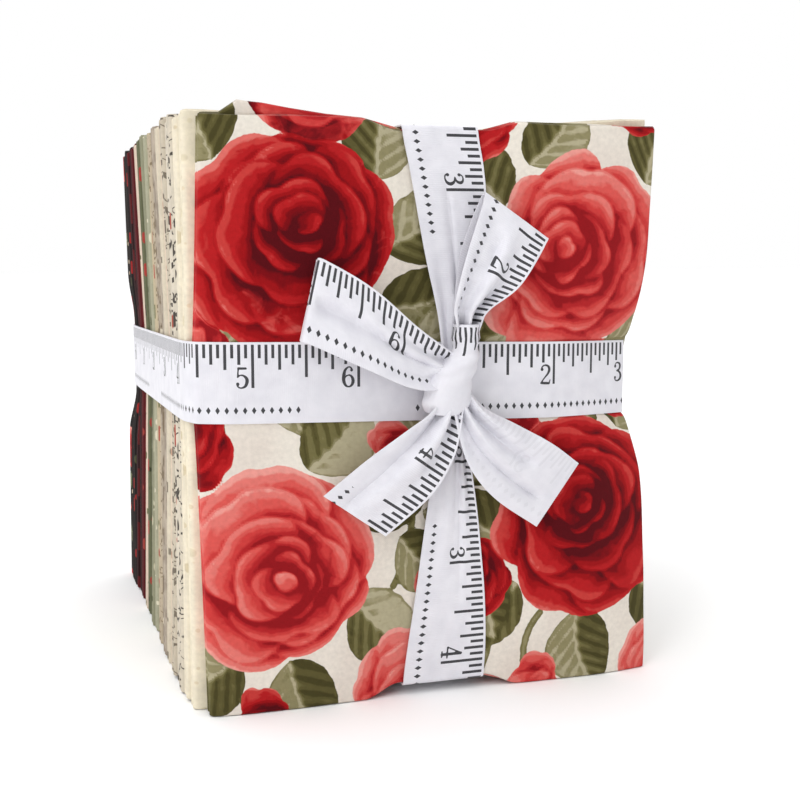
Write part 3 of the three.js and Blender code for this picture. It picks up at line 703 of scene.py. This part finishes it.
def scattered_roses(x, z):
    """Roses about 26 mm apart on a staggered grid, each with three leaves."""
    rng = np.random.default_rng(29)
    paint = blank_print(len(x))
    roses = []
    for row, cz in enumerate(np.arange(-4, 160, ROSE_ROWS_APART)):
        for cx in np.arange(-62 + ROSE_SPACING / 2 * (row % 2), 80, ROSE_SPACING):
            roses.append((cx + rng.uniform(-3, 3), cz + rng.uniform(-3, 3), rng.uniform(6.2, 8.4)))
    for cx, cz, radius in roses:
        start = rng.uniform(0, 6.28)
        for turn in (0, 2.3, 4.1):
            out = np.array([np.cos(start + turn), np.sin(start + turn)])
            base = np.array([cx, cz]) + out * radius * 0.8
            paint_leaf(paint, x, z, base, base + out * rng.uniform(8, 11), 5.6, rng)
    for cx, cz, radius in roses:
        paint_rose(paint, x, z, (cx, cz), radius, rng.uniform(0, 6), rng.uniform(0, 0.9), rng)
    return paint


points, faces, cloth = folded_fabric(BACK, np.random.default_rng(24), LAYERS - 1, BACK_PITCH)
back = new_piece("cloth_24", points, faces,
                 {"cloth_mm": cloth, **scattered_roses(across_face(BACK, cloth[:, 0]), cloth[:, 1])})
back.data.materials.append(printed_cotton("black_rose_cotton", floral_print(
    ("1D1716", "151010"), REDS, CORALS, NIGHT_GREENS)))
finish_fabric(BACK, back)
cloth_points.append(points)


# The tape-measure ribbon
# One length of white woven polyester ribbon, printed on one side with sixteenths of an
# inch. Its middle lies across the front and its ends go round both sides to the back.
# There they cross, go over the top and under the foot, and meet in a bow at the front.
TAPE_WIDTH, TAPE_THICKNESS = 19.0, 0.36
TAPE_CLEARANCE = TAPE_THICKNESS / 2 + 0.12
INCH = 25.4
NUMERAL_PITCH = 0.25
NUMERAL_BEFORE_MARK, NUMERAL_FOOT = 4.1, 10.7
SHORTEST_MARK, MARK_HALF_WIDTH, MARK_MARGIN = 3.7, 0.35, 0.55
DIAMOND_LINE, DIAMOND_HALF_SPACING, DIAMOND_REACH, DIAMOND_BREAK = 15.9, 1.05, 0.85, 14.2
RIBS_DRAWN = 0.5
TAPE_ROWS = np.unique(np.round(np.concatenate([
    [0, 0.15, 18.85, 19], np.arange(0.9, 18.6, 1.0), np.arange(5.4, 10.95, NUMERAL_PITCH)]), 2))
NUMERAL_STROKES = {  # each stroke goes through points given as right, up and half width, in mm
    1: (((0.6, 3.9, 0.15), (1.5, 4.75, 0.25)), ((1.55, 4.75, 0.36), (1.55, 0.2, 0.36)),
        ((0.7, 0.15, 0.17), (2.4, 0.15, 0.17))),
    2: (((0.6, 3.75, 0.38), (0.65, 3.8, 0.36)),
        ((0.4, 3.9, 0.18), (0.8, 4.6, 0.18), (1.6, 4.85, 0.22), (2.4, 4.5, 0.32),
         (2.65, 3.75, 0.38), (2.3, 2.8, 0.30), (1.4, 1.8, 0.2), (0.4, 0.5, 0.18)),
        ((0.35, 0.35, 0.22), (1.4, 0.35, 0.32), (2.6, 0.3, 0.3)), ((2.7, 0.3, 0.2), (2.95, 1.2, 0.16))),
    3: (((0.6, 3.9, 0.38), (0.65, 3.95, 0.36)),
        ((0.4, 4.0, 0.18), (0.9, 4.7, 0.18), (1.6, 4.85, 0.2), (2.3, 4.5, 0.32),
         (2.45, 3.85, 0.36), (2.1, 3.1, 0.28), (1.2, 2.75, 0.17)),
        ((1.2, 2.75, 0.17), (2.2, 2.45, 0.28), (2.75, 1.5, 0.4), (2.4, 0.55, 0.34),
         (1.5, 0.12, 0.2), (0.75, 0.3, 0.18), (0.4, 0.9, 0.18)),
        ((0.6, 1.0, 0.38), (0.65, 0.95, 0.36))),
    4: (((2.0, 4.8, 0.18), (0.25, 1.5, 0.18)), ((0.2, 1.45, 0.18), (3.0, 1.45, 0.2)),
        ((2.05, 4.7, 0.36), (2.05, 0.2, 0.36)), ((1.3, 0.15, 0.17), (2.8, 0.15, 0.17))),
    5: (((0.8, 4.65, 0.3), (2.5, 4.65, 0.26)), ((0.75, 4.6, 0.18), (0.6, 2.6, 0.18)),
        ((0.6, 2.6, 0.17), (1.2, 3.05, 0.17), (1.9, 3.0, 0.22), (2.6, 2.4, 0.35),
         (2.75, 1.6, 0.4), (2.35, 0.55, 0.32), (1.5, 0.12, 0.19), (0.75, 0.3, 0.18),
         (0.4, 0.95, 0.18)), ((0.6, 1.05, 0.38), (0.65, 1.0, 0.36))),
    6: (((2.35, 4.05, 0.34), (2.4, 4.1, 0.32)),
        ((2.5, 4.3, 0.17), (2.0, 4.8, 0.18), (1.4, 4.7, 0.2), (0.75, 4.0, 0.32),
         (0.4, 2.6, 0.4), (0.45, 1.4, 0.4), (0.9, 0.45, 0.3), (1.6, 0.12, 0.19),
         (2.35, 0.5, 0.3), (2.7, 1.45, 0.4), (2.45, 2.4, 0.32), (1.8, 2.9, 0.19),
         (1.0, 2.6, 0.17), (0.55, 1.9, 0.17))),
}


def through(rows, at):
    """A smooth line through rows of numbers (Catmull-Rom), read at these row numbers."""
    rows, at = np.asarray(rows, float), np.asarray(at, float)
    k = np.clip(np.floor(at).astype(int), 0, len(rows) - 2)
    t = (at - k)[:, None]
    padded = np.concatenate([2 * rows[:1] - rows[1:2], rows, 2 * rows[-1:] - rows[-2:-1]])
    p0, p1, p2, p3 = (padded[k + n] for n in range(4))
    return 0.5 * (2 * p1 + (p2 - p0) * t + (2 * p0 - 5 * p1 + 4 * p2 - p3) * t**2
                  + (3 * p1 - p0 - 3 * p2 + p3) * t**3)


def numeral_depth(u, v):
    """How far inside a printed numeral's strokes each point of the ribbon lies, in mm.
    Numerals run from 1 to 6 and start again, each just before its own inch mark."""
    inch = np.ceil(u / INCH)
    right, up = u - INCH * inch + NUMERAL_BEFORE_MARK, NUMERAL_FOOT - v
    depth = np.full(u.shape, -1.0)
    for numeral, strokes in NUMERAL_STROKES.items():
        here = (inch - 1) % len(NUMERAL_STROKES) + 1 == numeral
        here = here & (right > -0.6) & (up > -0.6) & (up < 5.6)
        for stroke in strokes:
            line = through(stroke, np.linspace(0, len(stroke) - 1, 5 * len(stroke)))
            for (ax, ay, ar), (bx, by, br) in zip(line[:-1], line[1:]):
                px, py = right[here] - ax, up[here] - ay
                t = (px * (bx - ax) + py * (by - ay)) / ((bx - ax) ** 2 + (by - ay) ** 2)
                t = np.clip(t, 0, 1)
                gap = np.hypot(px - t * (bx - ax), py - t * (by - ay))
                depth[here] = np.maximum(depth[here], ar + t * (br - ar) - gap)
    return depth


def stations(start, end, pitch, also=()):
    """Places along a ribbon for its points: close together where a numeral is printed."""
    marks = INCH * np.arange(np.floor(start / INCH), np.ceil(end / INCH) + 1)
    numerals = (marks[:, None] - np.arange(0.5, 4.6, NUMERAL_PITCH)).ravel()
    at = np.concatenate([np.arange(start, end, pitch), numerals, also])
    at = np.unique(np.round(at / NUMERAL_PITCH)) * NUMERAL_PITCH
    return np.concatenate([[start], at[(at > start + 0.2) & (at < end - 0.2)], [end]])


def taut_loop(points, clearance, start):
    """A tight band's line round flat points: the farthest point in each direction, moved
    out by the clearance. It starts and ends in the direction start, in degrees."""
    angles = np.radians(start + np.arange(0, 360.1, 0.5))
    outwards = np.stack([np.cos(angles), np.sin(angles)], -1)
    far = points[[np.argmax(points @ out) for out in outwards]]
    line = far + clearance * outwards
    measure = np.concatenate([[0], np.cumsum(np.hypot(*np.diff(line, axis=0).T))])
    return line, measure


def ribbon_piece(name, middle, u, faces_viewer):
    """A stretch of the ribbon as a closed thin sheet: each point of the middle surface
    moves half the thickness both ways along its normal. The printed side is turned so
    that at station faces_viewer it looks away from the stack."""
    normal = np.cross(np.gradient(middle, axis=0), np.gradient(middle, axis=1))
    normal /= np.linalg.norm(normal, axis=-1, keepdims=True)
    station, outwards = faces_viewer
    if normal[station, len(TAPE_ROWS) // 2] @ outwards < 0:
        normal = -normal
    points = np.stack([middle + normal * TAPE_THICKNESS / 2, middle - normal * TAPE_THICKNESS / 2])
    index = np.arange(points[..., 0].size).reshape(points.shape[:3])
    rings = [np.concatenate([side[:-1, 0], side[-1, :-1], side[:0:-1, -1], side[0, ::-1]])
             for side in index]
    faces = grid_faces(index[0]) + [face[::-1] for face in grid_faces(index[1])]
    faces += [face[::-1] for face in grid_faces(np.stack(rings, -1))]
    along, across = np.broadcast_arrays(u[:, None], TAPE_ROWS)
    depth = numeral_depth(along, across)
    tape = np.stack([np.stack([along, across, np.full(along.shape, side)], -1)
                     for side in (1.0, 0.0)])
    piece = new_piece(name, points.reshape(-1, 3), faces, {
        "tape_mm": tape.reshape(-1, 3),
        "numeral": np.stack([depth, depth]).ravel()})
    piece.data.materials.append(ribbon_finish)
    piece.data.set_sharp_from_angle(angle=np.radians(50))
    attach(piece, "root")
    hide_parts("ribbon_tie")
    return piece


def printed_ribbon():
    """Woven polyester ribbon with a low lustre, its ribs 0.3 mm apart drawn at 0.5 mm so
    that they show. Black marks stand on one edge: a short one every sixteenth of an inch,
    longer at eighths, quarters, halves and inches. A row of small diamonds runs near the
    other edge. The print shows faintly through to the other side."""
    material = bpy.data.materials.new("woven_polyester_ribbon")
    material.use_nodes = True
    tree = material.node_tree
    tree.nodes.clear()
    measure = node(tree, "Attribute", attribute_name="tape_mm").outputs["Vector"]
    u, v, side = node(tree, "SeparateXYZ", (measure,)).outputs
    sixteenth = INCH / 16
    reach = SHORTEST_MARK
    for every, more in ((2, 1.5), (4, 1.2), (8, 1.8), (16, 2.4)):
        off = node(tree, "Math", (u, every * sixteenth / 2), operation="PINGPONG")
        on = node(tree, "Math", (off, 0.4), operation="LESS_THAN")
        reach = node(tree, "Math", (on, more, reach), operation="MULTIPLY_ADD")
    off = node(tree, "Math", (u, sixteenth / 2), operation="PINGPONG")
    mark = node(tree, "Math", (off, MARK_HALF_WIDTH), operation="LESS_THAN")
    short = node(tree, "Math", (v, reach), operation="LESS_THAN")
    mark = node(tree, "Math", (mark, short), operation="MULTIPLY")
    inside = node(tree, "Math", (v, MARK_MARGIN), operation="GREATER_THAN")
    mark = node(tree, "Math", (mark, inside), operation="MULTIPLY")
    off = node(tree, "Math", (u, DIAMOND_HALF_SPACING), operation="PINGPONG")
    off = node(tree, "Math", (off, 1.6), operation="MULTIPLY")
    level = node(tree, "Math", (v, DIAMOND_LINE), operation="SUBTRACT")
    level = node(tree, "Math", (level,), operation="ABSOLUTE")
    level = node(tree, "Math", (level, off), operation="ADD")
    diamond = node(tree, "Math", (level, DIAMOND_REACH), operation="LESS_THAN")
    spaced = node(tree, "Math", (u, 2 * INCH), operation="PINGPONG")
    spaced = node(tree, "Math", (spaced, DIAMOND_BREAK), operation="GREATER_THAN")
    diamond = node(tree, "Math", (diamond, spaced), operation="MULTIPLY")
    numeral = node(tree, "Attribute", attribute_name="numeral").outputs["Fac"]
    numeral = node(tree, "Math", (numeral, 0.0), operation="GREATER_THAN")
    ink = node(tree, "Math", (mark, numeral), operation="MAXIMUM")
    ink = node(tree, "Math", (ink, diamond), operation="MAXIMUM")
    strength = node(tree, "MapRange", (side, 0.4, 0.6, 0.07, 0.96))
    ink = node(tree, "Math", (ink, strength), operation="MULTIPLY")
    slubs = node(tree, "TexNoise", {"Vector": measure, "Scale": 0.25, "Detail": 3.0})
    shade = node(tree, "MapRange", (slubs, 0.3, 0.7, 0.0, 1.0))
    white = node(tree, "Mix", {0: shade, 6: colour("DDDCE3"), 7: colour("E7E6EC")},
                 data_type="RGBA")
    printed = node(tree, "Mix", {0: ink, 6: white, 7: colour("1B1B20")}, data_type="RGBA")
    rib = node(tree, "Math", (u, 2 * np.pi / RIBS_DRAWN), operation="MULTIPLY")
    rib = node(tree, "Math", (rib,), operation="SINE")
    relief = node(tree, "Math", (rib, 0.2, slubs), operation="MULTIPLY_ADD")
    bump = node(tree, "Bump", {"Strength": 0.3, "Distance": 0.0002, "Height": relief})
    shader = node(tree, "BsdfPrincipled", {
        "Base Color": printed, "Roughness": 0.55, "Specular IOR Level": 0.4,
        "Sheen Weight": 0.1, "Sheen Roughness": 0.4, "Normal": bump})
    node(tree, "OutputMaterial", (shader,))
    return material


ribbon_finish = printed_ribbon()
all_cloth = np.concatenate(cloth_points)


# The ribbon's level run
# It goes once round the waist, taut, falling a little to the right and to the back. Its
# ends meet behind, under the upright run, where the real ribbon turns a quarter round.
SECOND_INCH_RIGHT = 30.4
close = np.abs(all_cloth[:, 2] - tie_height(all_cloth[:, 0], all_cloth[:, 1])) < 2.5
plan = all_cloth[close][:, :2]
plan = np.concatenate([plan, [[-0.7, plan[:, 1].max() + 0.02]]])
line, measure = taut_loop(plan, TAPE_CLEARANCE, 90)
front_run = (line[:, 1] < 6) & (np.abs(line[:, 0]) < 45)
second_inch = np.interp(SECOND_INCH_RIGHT, line[front_run, 0], measure[front_run])
measure = measure - second_inch + 2 * INCH
u = stations(measure[0], measure[-1], 3.0, measure)
x, y = (np.interp(u, measure, line[:, k])[:, None] for k in range(2))
beside_knot = np.exp(-np.abs(x - 2.6) / 10) * (y < 10)
fan = 0.45 * beside_knot * np.sin(TAPE_ROWS / 3.1 + 0.08 * x)
z = tie_height(x, y) + TAPE_WIDTH / 2 - TAPE_ROWS
level_run = np.stack([np.broadcast_to(x, z.shape), y - np.abs(fan), z], -1)
ribbon_piece("ribbon_level", level_run, u, (len(u) // 2, (0, -1, 0)))


# The ribbon's upright run
# It goes from the knot down the front, under the foot, up the back, over the top and down
# to the knot. Near the knot it is drawn together from 19 mm to 6 mm, in lengthwise pleats.
FRONT_EDGES = (  # height, then left and right edge on the front face
    (2, -9.6, 11.6), (10, -8.6, 12.4), (24, -6.4, 12.0), (46, -3.6, 9.6), (64, -1.2, 6.6),
    (80, 0.0, 6.2), (90, -0.4, 6.6), (97, -1.6, 8.4), (107, -3.9, 10.8), (117, -5.7, 11.6),
    (126, -7.3, 11.3), (134, -9.0, 9.9), (139, -10.2, 8.7))
BACK_EDGES = ((0, -9.6, 11.6), (4, -8.2, 10.8), (139, -10.2, 8.7))
THIRD_INCH_HEIGHT, DRAWN_TO = 123.8, 6.2
under = np.abs(all_cloth[:, 0] - 1) < 12.5
level_part = level_run[np.abs(level_run[..., 0] - 1) < 12.5]
outer = level_part + np.where(level_part[:, 1:2] < 50, -0.4, 0.4) * [0, 1, 0]
side_view = np.concatenate([all_cloth[under][:, 1:], outer[:, 1:]])
side_view = np.concatenate([side_view, [[side_view[:, 0].min() - 0.05, 80.5]]])
line, measure = taut_loop(side_view, TAPE_CLEARANCE, 180)
upper_front = (line[:, 0] < 4) & (measure > measure[-1] / 2)
third_inch = np.interp(-THIRD_INCH_HEIGHT, -line[upper_front, 1], measure[upper_front])
measure = measure - third_inch + 3 * INCH
u = stations(measure[0], measure[-1], 1.6, measure)
y, z = (np.interp(u, measure, line[:, k]) for k in range(2))
heights, lefts, rights = np.array(FRONT_EDGES).T
on_front = y < 30
spread = [np.mean([np.interp(z + step, heights, edge) for step in (-4, 0, 4)], 0)
          for edge in (lefts, rights)]
heights, lefts, rights = np.array(BACK_EDGES).T
spread = [np.where(on_front, near, np.interp(z, heights, edge))
          for near, edge in zip(spread, (lefts, rights))]
left, right = (edge[:, None] for edge in spread)
tightness = np.clip((TAPE_WIDTH - (right - left)) / (TAPE_WIDTH - DRAWN_TO), 0, 1)
across = 1 - TAPE_ROWS / TAPE_WIDTH
flatter = np.interp(across, (0, 0.45, 1), (0, 1, 0)) * 0.16 * tightness
x = left + (right - left) * (across + flatter)
pleats = tightness * 0.9 * np.sin(2 * np.pi * (3 * across + 0.15)) * (0.4 + 0.6 * tightness)
upper = smooth((z[:, None] - 84) / 8) * on_front[:, None]
crease = upper * smooth((128 - z[:, None]) / 8) * 1.1 * np.exp(-((across - 0.45) / 0.045) ** 2)
lower = smooth((76 - z[:, None]) / 8) * smooth((z[:, None] - 16) / 30) * on_front[:, None]
crease += lower * 0.8 * np.exp(-((across - 0.62) / 0.05) ** 2)
lift = (0.55 * tightness + pleats - 0.55 * crease) * on_front[:, None]
y = y[:, None] - np.clip(lift, -0.35, None)
upright_run = np.stack([x, y, np.broadcast_to(z[:, None], x.shape)], -1)
ribbon_piece("ribbon_upright", upright_run, u, (len(u) // 2, (0, 1, 0)))


# The bow's loops and tails
# Each loop is a flattened turn of ribbon, and loops and tails are gathered to about 4 to
# 9 mm at the knot. The left tail shows its printed side, and the right one its back.
def bow_part(name, rows, mark, direction, pleats, creases, printed_side):
    """A ribbon between two edge lines a and b, given root first as ax, az, bx, bz, how
    far forward it stands and how far the middle of its width bellies out past that.
    Width lost to gathering goes into pleats, of height (w/pi n) sqrt(19/w - 1) where the
    ribbon is w wide, up to 1.5 mm, and less near the face. mark is the row at an inch mark,
    which inch it is, and the edge that the marks stand on."""
    at = np.linspace(0, len(rows) - 1, 400)
    fine = through(rows, at)
    centre = np.stack([(fine[:, 0] + fine[:, 2]) / 2, fine[:, 4], (fine[:, 1] + fine[:, 3]) / 2], -1)
    run = np.concatenate([[0], np.cumsum(np.linalg.norm(np.diff(centre, axis=0), axis=1))])
    marked = np.interp(mark[0], at, run)
    measure = mark[1] * INCH + direction * (run - marked)
    u = stations(measure.min(), measure.max(), 0.7)[::direction]
    row = np.interp(direction * u, direction * measure, at)
    ax, az, bx, bz, forward, belly = (column[:, None] for column in through(rows, row).T)
    across = TAPE_ROWS / TAPE_WIDTH
    if mark[2] == "b":
        across = 1 - across
    width = np.hypot(bx - ax, bz - az)
    slack = np.sqrt(np.clip(TAPE_WIDTH / width - 1, 0, None))
    height = np.clip(width / (np.pi * pleats) * slack, 0, 1.5) * np.clip((-forward - 2) / 3.5, 0.2, 1)
    folds = height * np.sin(2 * np.pi * (pleats * across + 0.2))
    for place_across, breadth, depth, first, last in creases:
        along = smooth((row[:, None] - first) * 2.5) * smooth((last - row[:, None]) * 2.5)
        folds = folds - depth * along * np.exp(-((across - place_across) / breadth) ** 2)
    y = forward - belly * np.sin(np.pi * across) - folds
    middle = np.stack([ax + (bx - ax) * across, y, az + (bz - az) * across], -1)
    return ribbon_piece(name, middle, u, (len(u) // 5, (0, -printed_side, 0)))


bow_part("bow_left_loop", (
    (1.5, 85.0, 1.5, 76.5, -5.0, 0.0), (-8.1, 91.6, -9.0, 77.3, -7.2, 0.6),
    (-19.3, 101.1, -20.5, 82.2, -8.2, 0.4), (-29.8, 107.4, -33.8, 88.3, -6.6, -0.3),
    (-31.0, 107.4, -35.0, 88.5, -4.6, 0.0), (-29.6, 106.7, -33.5, 88.6, -3.0, 0.2),
    (-19.0, 100.4, -20.0, 82.6, -2.6, 0.2), (-1.0, 85.5, -1.0, 78.5, -2.4, 0.0),
), (3.35, 5, "a"), -1, 2.0, ((0.52, 0.11, 2.7, 0.3, 3.1), (0.52, 0.04, 0.7, -0.3, 1.9)), 1)
bow_part("bow_right_loop", (
    (2.9, 87.5, 7.3, 87.5, -4.6, 0.0), (1.7, 92.8, 8.2, 92.0, -5.9, 0.2),
    (0.9, 97.0, 9.6, 95.4, -7.2, 0.6),
    (3.4, 108.5, 17.0, 101.2, -8.6, 0.9), (8.7, 121.5, 24.6, 111.0, -6.8, 0.3),
    (9.4, 122.6, 25.6, 112.0, -5.0, 0.0), (8.6, 120.8, 24.0, 110.8, -3.4, 0.0),
    (3.9, 107.9, 16.6, 101.4, -3.1, 0.0), (1.8, 88.5, 5.4, 88.5, -2.8, 0.0),
), (2.95, 2, "b"), -1, 2.0, ((0.42, 0.06, 1.5, 0.4, 3.7), (0.75, 0.07, 0.9, 0.2, 2.8)), 1)
bow_part("bow_left_tail", (
    (0.0, 76.5, 4.6, 76.0, -4.6, 0.0), (-4.5, 71.3, 3.2, 67.5, -5.8, 0.4),
    (-10.5, 67.4, 0.9, 59.6, -6.4, 0.9), (-19.5, 61.0, -4.5, 50.8, -5.8, 0.6),
    (-30.2, 52.3, -15.0, 41.6, -4.4, 0.0),
), (2.45, 4, "b"), 1, 2.0, ((0.34, 0.08, 1.4, 0.4, 4.2), (0.7, 0.06, 0.8, 0.2, 2.8)), 1)
bow_part("bow_right_tail", (
    (1.6, 76.0, 5.6, 77.0, -4.2, 0.0), (2.0, 68.4, 10.0, 71.6, -5.8, 0.3),
    (5.2, 58.0, 18.0, 67.3, -6.6, 0.8), (12.5, 49.3, 27.4, 62.2, -6.2, 0.4),
    (24.2, 41.2, 35.4, 56.6, -4.6, 0.0),
), (2.6, 3, "b"), -1, 2.5, ((0.33, 0.06, 2.1, 0.3, 3.9), (0.64, 0.08, 1.5, 0.2, 3.2)), -1)


# The knot
# The ribbon wraps once, level, round the loops' and tails' roots. It is pulled narrow at
# its upper edge and spreads at its lower left, with soft wrinkles along it.
KNOT_SHAPE = (  # down its height: middle in x, half width and half depth
    (5.1, 2.95, 3.1), (5.0, 2.9, 3.5), (4.4, 3.3, 3.7), (2.7, 4.4, 3.7), (1.0, 5.4, 3.4),
    (0.4, 5.7, 3.0), (0.4, 5.5, 2.5))
KNOT_TOP, KNOT_HEIGHT = 92.0, 20.6
turn = np.linspace(-np.pi, np.pi, 121)[:, None]
share = TAPE_ROWS / TAPE_WIDTH
centre, half_width, half_depth = through(KNOT_SHAPE, share * (len(KNOT_SHAPE) - 1)).T
wrinkle = 0.30 * np.sin(2 * np.pi * (2.6 * share + 0.12 * np.sin(turn + 1))) * (0.5 + share / 2)
wrinkle = wrinkle + 0.22 * np.sin(2 * np.pi * (5.3 * share) + 2.5 * turn)
x = centre + (half_width + wrinkle) * np.sin(turn)
y = -1.7 - half_depth - (half_depth + wrinkle) * np.cos(turn)
z = KNOT_TOP - KNOT_HEIGHT * share - 1.0 * np.cos(turn) * share
middle = np.stack([x, y, np.broadcast_to(z, x.shape)], -1)
ribbon_piece("ribbon_knot", middle, 8.0 + 3.9 * turn[:, 0], (60, (0, -1, 0)))


# The floor, light and camera
# A plain white floor, a soft key light from the upper left and a wider one above. The sky
# lights more from the left and from overhead, and the camera sees it as plain white.
FLOOR_DROP = 0.0002
BUNDLE_MIDDLE = Vector((0, 0, 0.07))
bpy.ops.mesh.primitive_plane_add(size=8.0, location=(0, 0, -FLOOR_DROP))
floor = bpy.context.object
floor.name = "floor"
matt_white = bpy.data.materials.new("matt_white_paper")
matt_white.use_nodes = True
matt_white.node_tree.nodes["Principled BSDF"].inputs["Base Color"].default_value = colour("FAFAFA")
matt_white.node_tree.nodes["Principled BSDF"].inputs["Roughness"].default_value = 0.9
floor.data.materials.append(matt_white)

scene.world = bpy.data.worlds.new("studio")
scene.world.use_nodes = True
sky = scene.world.node_tree
toward = node(sky, "SeparateXYZ", (node(sky, "TexCoord").outputs["Generated"],))
level = node(sky, "MapRange", (toward.outputs["X"], -0.8, 0.8, 0.68, 0.24))
overhead = node(sky, "MapRange", (toward.outputs["Z"], 0.5, 1.0, 0.0, 1.7))
glow = node(sky, "Math", (level, overhead), operation="ADD")
seen = node(sky, "LightPath").outputs["Is Camera Ray"]
glow = node(sky, "Mix", {0: seen, 2: glow, 3: 1.0})
sky.nodes["Background"].inputs["Color"].default_value = colour("FFFFFF")
sky.links.new(glow.outputs[0], sky.nodes["Background"].inputs["Strength"])
for title, spot, size, power in (("key", (-1.2, -1.2, 1.1), 0.5, 6.5),
                                 ("top", (-0.2, 0.3, 1.8), 1.2, 3.0)):
    lamp = bpy.data.objects.new(title, bpy.data.lights.new(title, "AREA"))
    lamp.data.size, lamp.data.energy = size, power
    lamp.location = spot
    lamp.rotation_euler = (BUNDLE_MIDDLE - Vector(spot)).to_track_quat("-Z", "Y").to_euler()
    scene.collection.objects.link(lamp)
scene.view_settings.view_transform = "Standard"

EYE, YAW, PITCH = np.array([-99.4, -283.4, 111.9]), np.radians(17.525), np.radians(7.322)
camera = bpy.data.objects.new("camera", bpy.data.cameras.new("camera"))
camera.data.sensor_width, camera.data.lens = 36.0, 55.993
camera.location = place(EYE)
camera.rotation_euler = (np.pi / 2 - PITCH, 0, -YAW)
scene.collection.objects.link(camera)
scene.camera = camera
